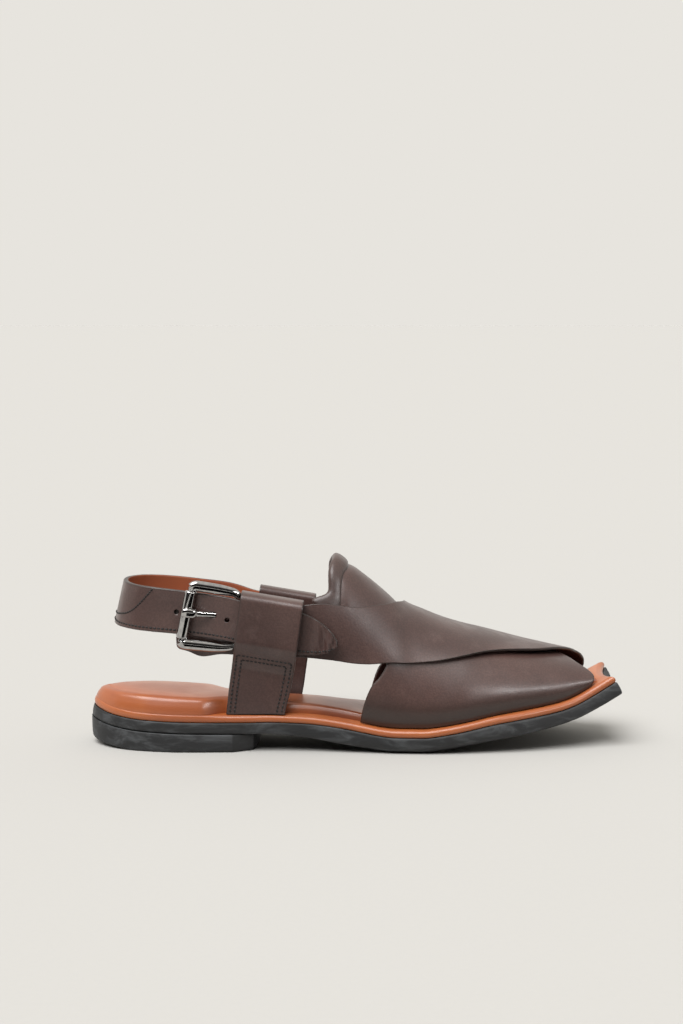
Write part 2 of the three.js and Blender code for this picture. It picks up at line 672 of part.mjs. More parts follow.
function tongue() {
  const columns = 5;
  const outer = [];
  const inner = [];
  for (let i = 0; i <= TONGUE_STEPS; i += 1) {
    const turn = tongueTurn(i);
    const rear = tongueRear(turn) + SEAM;
    const front = TONGUE_FRONT * SOLE_LENGTH;
    const outerRow = [];
    const innerRow = [];
    for (let j = 0; j <= columns; j += 1) {
      const x = THREE.MathUtils.lerp(rear, front, j / columns);
      outerRow.push(lastPoint(x, turn, -TONGUE_GAP));
      innerRow.push(lastPoint(x, turn, -TONGUE_GAP - TONGUE_THICKNESS));
    }
    outer.push(outerRow);
    inner.push(innerRow);
  }
  return plateSolid([inner, outer]);
}

// Padded roll along the tongue's rear edge
function tongueCollar() {
  const around = 12;
  const rings = [];
  for (let i = 0; i <= TONGUE_STEPS; i += 1) {
    const turn = tongueTurn(i);
    const seam = tongueRear(turn);
    const crest = smooth(0.3, 0.47, turn) * (1 - smooth(0.53, 0.7, turn));
    const flare = COLLAR_FLARE * (1 - smooth(0.2, 0.26, turn));
    const width = COLLAR_WIDTH + (COLLAR_CREST_SHIFT / 3) * crest + flare;
    const x = seam - width / 2;
    const rise = 0.9 * smooth(0.24, 0.32, turn) * (1 - smooth(0.68, 0.76, turn));
    const depth = TONGUE_GAP + COLLAR_THICKNESS / 2 - rise;
    const center = lastPoint(x, turn, -depth);
    const outward = lastPoint(x, turn, 0).sub(center).normalize();
    const forward = lastSurface(x + 1, turn).sub(lastSurface(x - 1, turn)).normalize();
    const ring = [];
    for (let j = 0; j < around; j += 1) {
      const angle = (2 * Math.PI * j) / around;
      const run = (width / 2) * Math.sign(Math.cos(angle)) * Math.abs(Math.cos(angle)) ** 0.8;
      const up = (COLLAR_THICKNESS / 2) * Math.sign(Math.sin(angle)) * Math.abs(Math.sin(angle)) ** 0.8;
      ring.push(center.clone().addScaledVector(forward, run).addScaledVector(outward, up));
    }
    rings.push(ring);
  }
  return loftSolid(rings);
}

// Side straps: both legs of the loop, as distances out from the last, and heights up the strap
const LATERAL_STRAP = {
  sign: -1,
  base: 0.3144 * SOLE_LENGTH,
  top: 0.8324 * INSTEP_HEIGHT,
  inside: -0.25,
  outside: 12.4,
  fold: 5.2,
  stitched: 0.438 * INSTEP_HEIGHT,
  open: 0.543 * INSTEP_HEIGHT,
  waist: 0,
};
const MEDIAL_STRAP = {
  sign: 1,
  base: 0.3425 * SOLE_LENGTH,
  top: 0.782 * INSTEP_HEIGHT,
  inside: -1.7,
  outside: 8,
  fold: 3.8,
  stitched: 0.405 * INSTEP_HEIGHT,
  open: 0.49 * INSTEP_HEIGHT,
  waist: 4.2,
};

// Half width of the last beside a strap, at a height
function sideOfLast(strap, x, z) {
  const along = x / SOLE_LENGTH;
  const column = strap.sign < 0 ? "lateral" : "medial";
  const floor = midsoleTop(x) + SEAM;
  const rise = INSTEP_HEIGHT * readTable(LAST, "crest", along) - floor;
  const square = readTable(LAST, "square", along);
  const share = THREE.MathUtils.clamp((z - floor) / rise, 0, 0.98);
  const half = BALL_WIDTH * readTable(LAST, column, along);
  return half * (1 - share ** square) ** (1 / square);
}

// Height where a side strap stands on the midsole
function strapFoot(strap) {
  return midsoleTop(strap.base) + SEAM;
}

// A point of a side strap. The foot follows the midsole, and the top leans forward.
function strapPoint(strap, out, up, across) {
  const foot = strapFoot(strap);
  const width = (across * SIDE_STRAP_WIDTH) / 2;
  const height = Math.max(up, foot);
  const x = strap.base + width + SIDE_STRAP_LEAN * (height - foot);
  const free = smooth(foot, (foot + strap.stitched) / 2 + SIDE_STRAP_THICKNESS, height);
  const follow = midsoleTop(x) + SEAM - foot;
  const z = height + THREE.MathUtils.lerp(follow, -SIDE_STRAP_TILT * width, free);
  const near = sideOfLast(strap, x, z);
  const plain = sideOfLast(strap, x, strap.open);
  const mix = smooth(strap.inside + SIDE_STRAP_THICKNESS * 1.5, strap.outside, out);
  const drawnIn = strap.waist * (1 - smooth(foot, strap.stitched, height));
  const side = THREE.MathUtils.lerp(near, plain, mix) + out - drawnIn;
  return new THREE.Vector3(x, strap.sign * side, z);
}

// Faces of the loop's leather at one height, as distances out from the last. The outer leg comes
// in between the open and the stitched height and is doubled on the inner leg below that.
function legFaces(strap, share) {
  const half = SIDE_STRAP_THICKNESS / 2;
  const doubled = strap.inside + SIDE_STRAP_THICKNESS - STITCHED_OVERLAP;
  const reach = strap.outside - doubled;
  const slope = (6 * share * (1 - share) * reach) / (strap.open - strap.stitched);
  const outer = doubled + reach * smooth(0, 1, share) + half;
  return {
    up: THREE.MathUtils.lerp(strap.stitched, strap.open, share),
    inner: strap.inside - half,
    outer,
    left: strap.inside + half,
    right: outer - SIDE_STRAP_THICKNESS * Math.hypot(slope, 1),
  };
}

// One row of the fold at the top of the loop, grown or shrunk by half the leather
function foldRow(strap, angle, grow) {
  const crown = strap.top - SIDE_STRAP_THICKNESS / 2 - strap.fold;
  const middle = (strap.inside + strap.outside) / 2;
  const half = (strap.outside - strap.inside) / 2 + grow;
  const across = half * Math.cos(angle) ** FOLD_ROUNDNESS;
  const up = crown + (strap.fold + grow) * Math.sin(angle) ** FOLD_ROUNDNESS;
  return { left: middle - across, right: middle + across, up };
}

// A block between a left and a right face, row by row up the strap and across its width
function strapBlock(strap, rows, across) {
  const grids = ["left", "right"].map((face) =>
    rows.map((row) => across.map((share) => strapPoint(strap, row[face], row.up, share))),
  );
  return toSolid(plateSolid(grids));
}

// A side strap folded over into a loop, with its outer layer stitched down to the foot
function sideStrap(strap) {
  const half = SIDE_STRAP_THICKNESS / 2;
  const foot = strapFoot(strap);
  const crown = strap.top - half - strap.fold;
  const fold = [0, 0.22, 0.44, 0.66, 0.88].map((share) => (share * Math.PI) / 2);
  const open = legFaces(strap, 1);
  const stitched = legFaces(strap, 0);
  const straight = (open.up + crown) / 2;
  const body = [
    ...[0, 0.33, 0.66].map((share) => ({
      left: stitched.inner,
      right: stitched.outer,
      up: THREE.MathUtils.lerp(foot, strap.stitched, share),
    })),
    ...[0, 0.25, 0.5, 0.75, 1].map((share) => {
      const leg = legFaces(strap, share);
      return { left: leg.inner, right: leg.outer, up: leg.up };
    }),
    { left: open.inner, right: open.outer, up: straight },
    ...fold.map((angle) => foldRow(strap, angle, half)),
  ];
  const hollow = [
    ...[0.3, 0.5, 0.75, 1].map((share) => legFaces(strap, share)),
    { left: open.left, right: open.right, up: straight },
    ...fold.map((angle) => foldRow(strap, angle, -half)),
  ];
  const across = [-1, -0.5, 0, 0.5, 1];
  const through = [-1.1, -0.5, 0, 0.5, 1.1];
  return toGeometry(strapBlock(strap, body, across).subtract(strapBlock(strap, hollow, through)));
}

// Middle line of the heel strap with its heights, at a share of the way from its tip
function heelStrapStation(u) {
  const place = HEEL_STRAP_LINE.getPoint(u);
  const heights = HEEL_STRAP_HEIGHTS.getPoint(u);
  const ahead = HEEL_STRAP_LINE.getTangent(u);
  const outward = new THREE.Vector3(-ahead.y, ahead.x, 0).normalize();
  return { place, outward, low: heights.x, high: heights.y, lean: heights.z };
}

const HEEL_STRAP_LINE = new THREE.CatmullRomCurve3(
  HEEL_STRAP.map((row) => new THREE.Vector3(row.along * SOLE_LENGTH, row.side * BALL_WIDTH, 0)),
);
const HEEL_STRAP_HEIGHTS = new THREE.CatmullRomCurve3(
  HEEL_STRAP.map((row) => {
    const middle = ((row.low + row.high) / 2) * INSTEP_HEIGHT;
    const narrow = Math.min((row.high - row.low) * INSTEP_HEIGHT, HEEL_STRAP_WIDTH);
    return new THREE.Vector3(middle - narrow / 2, middle + narrow / 2, row.lean * HEEL_STRAP_WIDTH);
  }),
);
HEEL_STRAP_LINE.curveType = "catmullrom";
HEEL_STRAP_HEIGHTS.curveType = "catmullrom";

// Frame of the buckle: its middle, and the directions along the strap and up the roller
const BUCKLE_MIDDLE = new THREE.Vector3(0.2425 * SOLE_LENGTH, -0.3555 * BALL_WIDTH, 0.719 * INSTEP_HEIGHT);
const BUCKLE_TURN_IN = 0.07;
const BUCKLE_SHEAR = 0.07;

function bucklePoint(run, rise, out) {
  const forward = run + BUCKLE_SHEAR * rise;
  const x = BUCKLE_MIDDLE.x + forward * Math.cos(BUCKLE_TILT) + rise * Math.sin(BUCKLE_TILT);
  const z = BUCKLE_MIDDLE.z - forward * Math.sin(BUCKLE_TILT) + rise * Math.cos(BUCKLE_TILT);
  return new THREE.Vector3(x, BUCKLE_MIDDLE.y + run * BUCKLE_TURN_IN - out, z);
}

function buckleFrame() {
  const line = (side, sign) =>
    FRAME_LINE.map((row) => ({
      run: (row.run * FRAME_LENGTH) / 2,
      rise: (sign * row[side] * FRAME_HEIGHT) / 2,
      rod: row.rod,
    }));
  const rows = [...line("rise", 1), ...line("fall", -1).slice(1, -1).reverse()];
  const path = new THREE.CatmullRomCurve3(
    rows.map((row) => new THREE.Vector3(row.run, row.rise, row.rod)),
    true,
    "catmullrom",
    0.4,
  );
  const stations = rows.length * 2;
  const around = 8;
  const rings = [];
  for (let i = 0; i < stations; i += 1) {
    const u = i / stations;
    const here = path.getPoint(u);
    const ahead = path.getTangent(u);
    const length = Math.hypot(ahead.x, ahead.y);
    const ring = [];
    for (let j = 0; j < around; j += 1) {
      const angle = (2 * Math.PI * (j + 0.5)) / around;
      const flat = (BUCKLE_ROD / 2) * here.z * Math.cos(angle);
      const out = (BUCKLE_DEPTH / 2) * here.z * Math.sin(angle);
      const run = here.x + (flat * ahead.y) / length;
      const rise = here.y - (flat * ahead.x) / length;
      ring.push(bucklePoint(run, rise, out));
    }
    rings.push(ring);
  }
  return loftSolid(rings, true);
}

// Tube that turns on the frame's axle
function buckleRoller() {
  const inner = (AXLE_DIAMETER / 2 + ROLLER_GAP) / Math.cos(Math.PI / 16);
  const outer = ROLLER_DIAMETER / 2;
  const half = ROLLER_LENGTH / 2;
  const profile = [
    new THREE.Vector2(inner, -half),
    new THREE.Vector2(outer, -half),
    new THREE.Vector2(outer, half),
    new THREE.Vector2(inner, half),
    new THREE.Vector2(inner, -half),
  ];
  const tube = new THREE.LatheGeometry(profile, 16);
  const low = bucklePoint(-FRAME_LENGTH / 2, -half, 0);
  const high = bucklePoint(-FRAME_LENGTH / 2, half, 0);
  const axis = high.clone().sub(low).normalize();
  tube.applyQuaternion(new THREE.Quaternion().setFromUnitVectors(new THREE.Vector3(0, 1, 0), axis));
  tube.translate(...low.add(high).multiplyScalar(0.5).toArray());
  return tube;
}

// Prong from the heel bar, up through the strap's hole and over the roller.
// Run is along the buckle, out is away from the foot, thick is a share of PRONG_THICKNESS.
const PRONG_LINE = [
  { run: 1.105, out: 2.35, thick: 0.4, wide: 0.9 },
  { run: 1.0, out: 2.75, thick: 0.42, wide: 0.9 },
  { run: 0.86, out: 2.15, thick: 0.45, wide: 0.9 },
  { run: 0.72, out: 0.1, thick: 0.6, wide: 0.85 },
  { run: 0.45, out: -0.35, thick: 0.72, wide: 0.75 },
  { run: 0.12, out: -0.2, thick: 0.75, wide: 0.7 },
  { run: -0.12, out: 0.55, thick: 0.8, wide: 0.7 },
  { run: -0.4, out: 2.25, thick: 0.85, wide: 0.72 },
  { run: -0.68, out: 3.95, thick: 0.95, wide: 0.85 },
  { run: -0.86, out: 4.6, thick: 1, wide: 1 },
  { run: -1.0, out: 4.6, thick: 0.95, wide: 1 },
  { run: -1.09, out: 4.4, thick: 0.6, wide: 0.8 },
];

function prongSolid(grow) {
  const line = new THREE.CatmullRomCurve3(
    PRONG_LINE.map((row) => new THREE.Vector3((row.run * FRAME_LENGTH) / 2, row.out, 0)),
  );
  const sizes = new THREE.CatmullRomCurve3(
    PRONG_LINE.map((row) => new THREE.Vector3(row.thick, row.wide, 0)),
  );
  const steps = (PRONG_LINE.length - 1) * 2;
  const rings = [];
  for (let i = 0; i <= steps; i += 1) {
    const u = i / steps;
    const here = line.getPoint(u);
    const ahead = line.getTangent(u);
    const size = sizes.getPoint(u);
    const thick = (size.x * PRONG_THICKNESS) / 2 + grow;
    const wide = (size.y * PRONG_WIDTH) / 2 + grow;
    const ring = [];
    for (let j = 0; j < 8; j += 1) {
      const angle = (2 * Math.PI * (j + 0.5)) / 8;
      const square = 1.08;
      const up = thick * square * Math.sin(angle);
      const rise = PRONG_RAISED + wide * square * Math.cos(angle);
      ring.push(bucklePoint(here.x - up * ahead.y, rise, here.y + up * ahead.x));
    }
    rings.push(ring);
  }
  return loftSolid(rings);
}

// Strap round the heel, with its row of holes and the slot that the prong passes through
function heelStrap() {
  const steps = (HEEL_STRAP.length - 1) * 2;
  const half = HEEL_STRAP_THICKNESS / 2;
  const grids = [-half, half].map((shift) => {
    const grid = [];
    for (let i = 0; i <= steps; i += 1) {
      const at = heelStrapStation(i / steps);
      const row = [0, 0.35, 0.65, 1].map((share) => {
        const out = shift - at.lean * (share - 0.5);
        const point = at.place.clone().addScaledVector(at.outward, out);
        point.z = THREE.MathUtils.lerp(at.low, at.high, share);
        return point;
      });
      grid.push(row);
    }
    return grid;
  });
  let strap = toSolid(plateSolid(grids));
  const reach = 5 * HEEL_STRAP_THICKNESS;
  HOLE_PLACES.forEach((place) => {
    const pin = new THREE.CylinderGeometry(HOLE_DIAMETER / 2, HOLE_DIAMETER / 2, reach, 12);
    pin.translate(...bucklePoint(place * HOLE_SPACING, 0, 0).toArray());
    strap = strap.subtract(toSolid(pin));
  });
  return toGeometry(strap.subtract(toSolid(prongSolid(PRONG_GAP))));
}

function piece(name, geometry, look) {
  const mesh = new THREE.Mesh(geometry, new THREE.MeshStandardMaterial(look));
  mesh.name = name;
  return mesh;
}

const shoe = new THREE.Group();
shoe.add(piece("outsole", outsole(), RUBBER));
shoe.add(piece("heel_block", heelBlock(), RUBBER));
shoe.add(piece("midsole", midsole(), TAN_LEATHER));
shoe.add(piece("insole", insole(), TAN_LEATHER));
shoe.add(piece("upper", upper(), LEATHER));
shoe.add(piece("tongue", tongue(), LEATHER));
shoe.add(piece("tongue_collar", tongueCollar(), DARK_LEATHER));
shoe.add(piece("side_strap_lateral", sideStrap(LATERAL_STRAP), LEATHER));
shoe.add(piece("side_strap_medial", sideStrap(MEDIAL_STRAP), LEATHER));
shoe.add(piece("heel_strap", heelStrap(), LEATHER));
shoe.add(piece("buckle_frame", buckleFrame(), GUNMETAL));
shoe.add(piece("buckle_roller", buckleRoller(), GUNMETAL));
shoe.add(piece("buckle_prong", prongSolid(0), GUNMETAL));

// The shoe stands with the middle of its box over the origin
const box = new THREE.Box3().setFromObject(shoe);
shoe.position.set(-(box.min.x + box.max.x) / 2, -(box.min.y + box.max.y) / 2, -box.min.z);

export default shoe;
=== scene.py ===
# %% [markdown]
# # Peshawari chappal
# This sandal is two crossed leather bands on a tan padded footbed, over a black rubber sole.
# A narrow strap goes round the heel and closes with a roller buckle on the outer side.
# The whole shoe is drawn over one imagined foot, the last, so every piece fits the others.
# Sizes are in shoe millimetres: X runs from the back of the heel to the toe, Y to the inner side
# of the foot, and Z up from the floor. Each piece is a plain primitive that is raised in edit mode,
# put in place over the last or the sole, and then rounded.

import math

import bpy
import numpy as np
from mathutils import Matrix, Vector, kdtree


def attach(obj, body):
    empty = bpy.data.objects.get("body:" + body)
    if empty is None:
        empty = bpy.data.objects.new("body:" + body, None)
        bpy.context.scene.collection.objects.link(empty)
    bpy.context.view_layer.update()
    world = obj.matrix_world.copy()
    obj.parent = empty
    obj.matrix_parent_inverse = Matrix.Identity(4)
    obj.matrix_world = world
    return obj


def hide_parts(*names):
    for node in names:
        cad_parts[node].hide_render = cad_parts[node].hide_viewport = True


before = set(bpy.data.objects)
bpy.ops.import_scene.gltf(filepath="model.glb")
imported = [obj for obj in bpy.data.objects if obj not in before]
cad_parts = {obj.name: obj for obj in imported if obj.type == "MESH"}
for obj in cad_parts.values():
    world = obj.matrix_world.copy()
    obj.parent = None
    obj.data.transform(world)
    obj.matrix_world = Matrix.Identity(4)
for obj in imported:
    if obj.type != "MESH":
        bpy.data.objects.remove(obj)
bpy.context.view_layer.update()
print("frame:", len(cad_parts), "nodes")

# %% [markdown]
# ## Measures
# These are the shoe's main sizes. Tables give shares of them along the length of the sole,
# so that the curves can be read and changed as one reads a shoemaker's pattern.

# %% Main sizes in millimetres
MIDDLE = np.array([149.5897, 8.6948, 0.0])
SOLE_LENGTH = 299.0
BALL_WIDTH = 97.0
INSTEP_HEIGHT = 105.0
HEEL_HEIGHT = 10.0
TOE_SPRING = 29.0
OUTSOLE_THICKNESS = 6.2
OUTSOLE_BALL_EXTRA = 2.6
OUTSOLE_TOE_EXTRA = 1.3
RIM_THICKNESS = 4.0
TOE_NOTCH = 3.6
HEEL_ROUNDING = 51.0
BREAST_CORNER = 81.0
BREAST_DEPTH = 15.0
SEAM = 0.3

# %% Tables of the sole
# Share of the length, of the heel's height and of the toe's rise
SOLE_PROFILE = [
    (0, 1.56, 0), (0.045, 1.26, 0), (0.1, 1.1, 0), (0.2, 1.02, 0), (0.27, 1, 0), (0.325, 1, 0),
    (0.395, 0.84, 0), (0.472, 0.46, 0), (0.52, 0.19, 0), (0.55, 0.05, 0), (0.574, 0, 0),
    (0.626, 0, 0), (0.66, 0, 0.04), (0.702, 0, 0.115), (0.736, 0, 0.19), (0.766, 0, 0.255),
    (0.803, 0, 0.318), (0.839, 0, 0.388), (0.88, 0, 0.482), (0.918, 0, 0.603), (0.956, 0, 0.785),
    (1, 0, 1.045),
]
# Share of the length, and of the ball's width on the outer and the inner side
SOLE_OUTLINE = [
    (0, 0.32, 0.3), (0.12, 0.325, 0.305), (0.185, 0.335, 0.31), (0.27, 0.33, 0.29),
    (0.35, 0.32, 0.262), (0.4, 0.322, 0.25), (0.45, 0.333, 0.255), (0.5, 0.355, 0.32),
    (0.57, 0.381, 0.455), (0.635, 0.392, 0.565), (0.69, 0.387, 0.608), (0.736, 0.371, 0.606),
    (0.803, 0.335, 0.565), (0.87, 0.283, 0.48), (0.92, 0.237, 0.4), (0.953, 0.207, 0.35),
    (1, 0.184, 0.308),
]
# Share of the length, footbed thickness from heel to front, how far its side is set in,
# whether the wider front inset holds, and the share of thickness lost on the inner side
FOOTBED = [
    (0, 0.58, 0, 0, 0.1), (0.045, 0.87, 0, 0, 0.12), (0.1, 1, 0, 0, 0.14),
    (0.215, 0.9, 0, 0, 0.24), (0.262, 0.8, 1, 0, 0.3), (0.35, 0.44, 1, 0, 0.32),
    (0.45, 0.3, 1, 0.7, 0.2), (0.55, 0.15, 1, 1, 0.1), (0.66, 0, 1, 1, 0), (1, 0, 1, 1, 0),
]
# Share of the length, crest height, outer and inner half width, and how square the section is
LAST = [
    (0.16, 1.083, 0.279, 0.27, 4), (0.35, 1.083, 0.285, 0.285, 4),
    (0.4, 1.073, 0.294, 0.288, 3.6), (0.435, 1.056, 0.3, 0.292, 3.15),
    (0.462, 1.022, 0.305, 0.298, 2.85), (0.495, 0.953, 0.318, 0.315, 2.55),
    (0.527, 0.882, 0.33, 0.35, 2.4), (0.56, 0.799, 0.341, 0.412, 2.35),
    (0.592, 0.712, 0.349, 0.47, 2.3), (0.622, 0.673, 0.356, 0.512, 2.3),
    (0.659, 0.627, 0.361, 0.548, 2.3), (0.696, 0.592, 0.361, 0.562, 2.3),
    (0.736, 0.563, 0.345, 0.557, 2.3), (0.773, 0.534, 0.325, 0.541, 2.3),
    (0.809, 0.505, 0.299, 0.51, 2.3), (0.85, 0.476, 0.268, 0.459, 2.3),
    (0.886, 0.45, 0.237, 0.417, 2.3), (0.916, 0.426, 0.201, 0.376, 2.3),
    (0.95, 0.393, 0.165, 0.314, 2.3), (0.97, 0.378, 0.15, 0.285, 2.3),
]


# %% Curves
def smooth(low, high, value):
    """0 below low, 1 above high, and an even rise between them."""
    t = np.clip((np.asarray(value, float) - low) / (high - low), 0, 1)
    return t * t * (3 - 2 * t)


def mixed(a, b, share):
    return a + (b - a) * share


def unit(vectors):
    return vectors / np.maximum(np.linalg.norm(vectors, axis=-1, keepdims=True), 1e-9)


def powered(value, power):
    """A power that keeps the sign, which makes a circle's section squarer or sharper."""
    return np.sign(value) * np.abs(value) ** power


def fair(rows, column, along):
    """A column of a table, read smoothly and with no overshoot between its rows."""
    table = np.asarray(rows, float)
    x, y = table[:, 0], table[:, column]
    rise = np.diff(y) / np.diff(x)
    slope = np.empty_like(y)
    slope[0], slope[-1] = rise[0], rise[-1]
    product, total = rise[:-1] * rise[1:], rise[:-1] + rise[1:]
    slope[1:-1] = np.where(product > 0, 2 * product / np.where(total == 0, 1, total), 0)
    place = np.clip(along, x[0], x[-1])
    i = np.clip(np.searchsorted(x, place) - 1, 0, len(x) - 2)
    span = x[i + 1] - x[i]
    t = (place - x[i]) / span
    start = y[i] * (2 * t**3 - 3 * t**2 + 1) + slope[i] * span * (t**3 - 2 * t**2 + t)
    return start + y[i + 1] * (3 * t**2 - 2 * t**3) + slope[i + 1] * span * (t**3 - t**2)


def through(points, share):
    """Places on a smooth line through points, at shares of the way from the first to the last."""
    p = np.asarray(points, float)
    ends = np.vstack([2 * p[0] - p[1], p, 2 * p[-1] - p[-2]])
    s = np.clip(share, 0, 1) * (len(p) - 1)
    i = np.minimum(s.astype(int), len(p) - 2)
    t = (s - i)[..., None]
    a, b, c, d = ends[i], ends[i + 1], ends[i + 2], ends[i + 3]
    curve = 2 * b + (c - a) * t + (2 * a - 5 * b + 4 * c - d) * t**2
    return 0.5 * (curve + (3 * b - a - 3 * c + d) * t**3)


# %% The sole's own shape
def bottom_height(run):
    """Height of the sole's underside above the floor."""
    along = run / SOLE_LENGTH
    return HEEL_HEIGHT * fair(SOLE_PROFILE, 1, along) + TOE_SPRING * fair(SOLE_PROFILE, 2, along)


def bottom_slope(run):
    step = SOLE_LENGTH / 150
    low = np.maximum(run - step, 0)
    high = np.minimum(run + step, SOLE_LENGTH)
    return np.arctan((bottom_height(high) - bottom_height(low)) / (high - low))


def sole_point(run, side, up):
    """A point of the sole, up square to its underside."""
    slope = bottom_slope(run)
    x = run - up * np.sin(slope)
    return np.stack([x, side, bottom_height(run) + up * np.cos(slope)], -1)


def outsole_up(run):
    along = run / SOLE_LENGTH
    ball = smooth(0.3, 0.5, along) * (1 - smooth(0.75, 1, along))
    toe = smooth(0.88, 1, along)
    return OUTSOLE_THICKNESS + OUTSOLE_BALL_EXTRA * ball + OUTSOLE_TOE_EXTRA * toe


def rim_up(run):
    return outsole_up(run) + SEAM + RIM_THICKNESS


def midsole_top(x):
    run = x
    for _ in range(6):
        run = x + rim_up(run) * np.sin(bottom_slope(run))
    return bottom_height(run) + rim_up(run) * np.cos(bottom_slope(run))


def half_width(run, column):
    width = BALL_WIDTH * fair(SOLE_OUTLINE, column, run / SOLE_LENGTH)
    left = np.maximum(1 - run / HEEL_ROUNDING, 0)
    return width * np.sqrt(np.maximum(1 - left**2, 0))


def outline_place(station, across, inset, toe_inset):
    """Run and side of a place in the sole's plan, set in from the outline by a distance."""
    run = station * SOLE_LENGTH
    step = 0.05
    low = np.maximum(run - step, 0)
    ends = []
    for column, sign in ((1, -1), (2, 1)):
        slope = (half_width(run + step, column) - half_width(low, column)) / (run + step - low)
        length = np.hypot(slope, 1)
        place = run + inset * slope / length
        ends.append((place, sign * (half_width(run, column) - inset / length)))
    share = (across + 1) / 2
    side = mixed(ends[0][1], ends[1][1], share)
    plain = mixed(ends[0][0], ends[1][0], share)
    notch = TOE_NOTCH * (1 - across**2)
    return plain - smooth(0.9, 1, station) * (toe_inset + notch), side


# %% The last
TUCK_IN = 3.0
TUCK_HEIGHT = 12.0


def last_surface(x, turn):
    """A bare point of the last. Turn is 0 at the outer foot, 0.5 on the crest, 1 at the inner."""
    along = x / SOLE_LENGTH
    floor = midsole_top(x) + SEAM
    rise = INSTEP_HEIGHT * fair(LAST, 1, along) - floor
    lateral = BALL_WIDTH * fair(LAST, 2, along)
    medial = BALL_WIDTH * fair(LAST, 3, along)
    power = 2 / fair(LAST, 4, along)
    angle = np.pi * (1 - turn)
    across = powered(np.cos(angle), power)
    up = rise * np.maximum(np.sin(angle), 0) ** power
    tuck = TUCK_IN * np.maximum(1 - up / TUCK_HEIGHT, 0) ** 2
    half = (lateral + medial) / 2 - tuck
    return np.stack([x, (medial - lateral) / 2 + half * across, floor + up], -1)


def last_point(x, turn, offset):
    """A point off the last, square to it. Near the foot it stays on the midsole."""
    x, turn, offset = np.broadcast_arrays(*(np.asarray(a, float) for a in (x, turn, offset)))
    t = np.clip(turn, 0, 1)
    here = last_surface(x, t)
    along = last_surface(x + 1, t) - last_surface(x - 1, t)
    above = last_surface(x, np.minimum(t + 0.01, 1))
    around = above - last_surface(x, np.maximum(t - 0.01, 0))
    normal = unit(np.cross(along, around))
    floor = midsole_top(x) + SEAM
    normal[..., 2] *= np.minimum((here[..., 2] - floor) / TUCK_HEIGHT, 1)
    here = here + unit(normal) * offset[..., None]
    here[..., 2] = np.maximum(here[..., 2], midsole_top(here[..., 0]) + SEAM)
    return here


# %% [markdown]
# ## Building helpers
# A leather piece is a plate: a flat grid whose edge is raised level by level. The grid's own
# place says where each corner goes, so one function can lay it over the last or the sole.
# Two rows close to every edge hold the edge's shape, and one pass of subdivision rounds it.
# The underside, the cut edge and the face of the leather get a finish each.

# %% Mesh helpers
FAR_FROM_EDGE = 9.0


def coordinates(mesh):
    flat = np.empty(len(mesh.vertices) * 3)
    mesh.vertices.foreach_get("co", flat)
    return flat.reshape(-1, 3)


def put(mesh, points):
    """Places the vertices of a mesh at points in shoe millimetres."""
    mesh.vertices.foreach_set("co", ((points - MIDDLE) / 1000).ravel())
    mesh.update()


def steps(count, hold=0.012):
    """Even steps from 0 to 1 with one more close to each end."""
    inner = np.linspace(0, 1, count + 1)[1:-1]
    return np.concatenate([[0, hold], inner, [1 - hold, 1]])


def only(piece):
    bpy.ops.object.select_all(action="DESELECT")
    piece.select_set(True)
    bpy.context.view_layer.objects.active = piece


def primitive(add_it, name, **settings):
    """One of Blender's primitives, alone in the selection and under its own name."""
    bpy.ops.object.select_all(action="DESELECT")
    add_it(**settings)
    piece = bpy.context.active_object
    piece.name = piece.data.name = name
    return piece


def give(mesh, name, values):
    """Stores one number for each vertex, for the finishes to read."""
    if name not in mesh.attributes:
        mesh.attributes.new(name, "FLOAT", "POINT")
    mesh.attributes[name].data.foreach_set("value", np.asarray(values, np.float32))


def face_out(piece):
    only(piece)
    bpy.ops.object.mode_set(mode="EDIT")
    bpy.ops.mesh.select_all(action="SELECT")
    bpy.ops.mesh.normals_make_consistent(inside=False)
    bpy.ops.object.mode_set(mode="OBJECT")


def rounded(piece, levels=1):
    """Rounds a piece by subdivision and applies it."""
    only(piece)
    if levels:
        modifier = piece.modifiers.new("round", "SUBSURF")
        modifier.levels = levels
        modifier.render_levels = levels
        bpy.ops.object.modifier_apply(modifier=modifier.name)
    face_out(piece)
    bpy.ops.object.shade_smooth()


def plate(name, us, vs, levels, place, finishes, depth=1, painted_shade=None):
    """A grid raised into a closed plate. Finishes are those of its base, its edge and its top."""
    counts = {"x_subdivisions": len(us) - 1, "y_subdivisions": len(vs) - 1}
    piece = primitive(bpy.ops.mesh.primitive_grid_add, name, size=1, **counts)
    bpy.ops.object.mode_set(mode="EDIT")
    bpy.ops.mesh.select_all(action="SELECT")
    for _ in range(levels - 1):
        bpy.ops.mesh.extrude_region_move(TRANSFORM_OT_translate={"value": (0, 0, 1)})
    bpy.ops.object.mode_set(mode="OBJECT")
    mesh = piece.data
    flat = coordinates(mesh)
    i = np.rint((flat[:, 0] + 0.5) * (len(us) - 1)).astype(int)
    j = np.rint((flat[:, 1] + 0.5) * (len(vs) - 1)).astype(int)
    level = np.rint(flat[:, 2]).astype(int)
    u, v = np.asarray(us)[i], np.asarray(vs)[j]
    points = place(u, v, level)
    put(mesh, points)
    edge = (i == 0) | (i == len(us) - 1) | (j == 0) | (j == len(vs) - 1)
    give(mesh, "rim", distance_to(points, points[edge & (level > 0)]))
    # A number for painted shade: where it is 1, a finish is darkened to stand for shade.
    give(mesh, "painted_shade", painted_shade(u, v) if painted_shade else 0 * u)
    for finish in finishes:
        mesh.materials.append(finish)
    corners = [[level[k] for k in face.vertices] for face in mesh.polygons]
    place_of = [0 if max(c) == 0 else (2 if min(c) == levels - 1 else 1) for c in corners]
    mesh.polygons.foreach_set("material_index", place_of)
    rounded(piece, depth)
    print(name, len(mesh.polygons), "faces")
    return piece


def distance_to(points, others):
    """How far each point is from the nearest of the others."""
    tree = kdtree.KDTree(len(others))
    for k, other in enumerate(others):
        tree.insert(other, k)
    tree.balance()
    return np.array([tree.find(p)[2] for p in points])


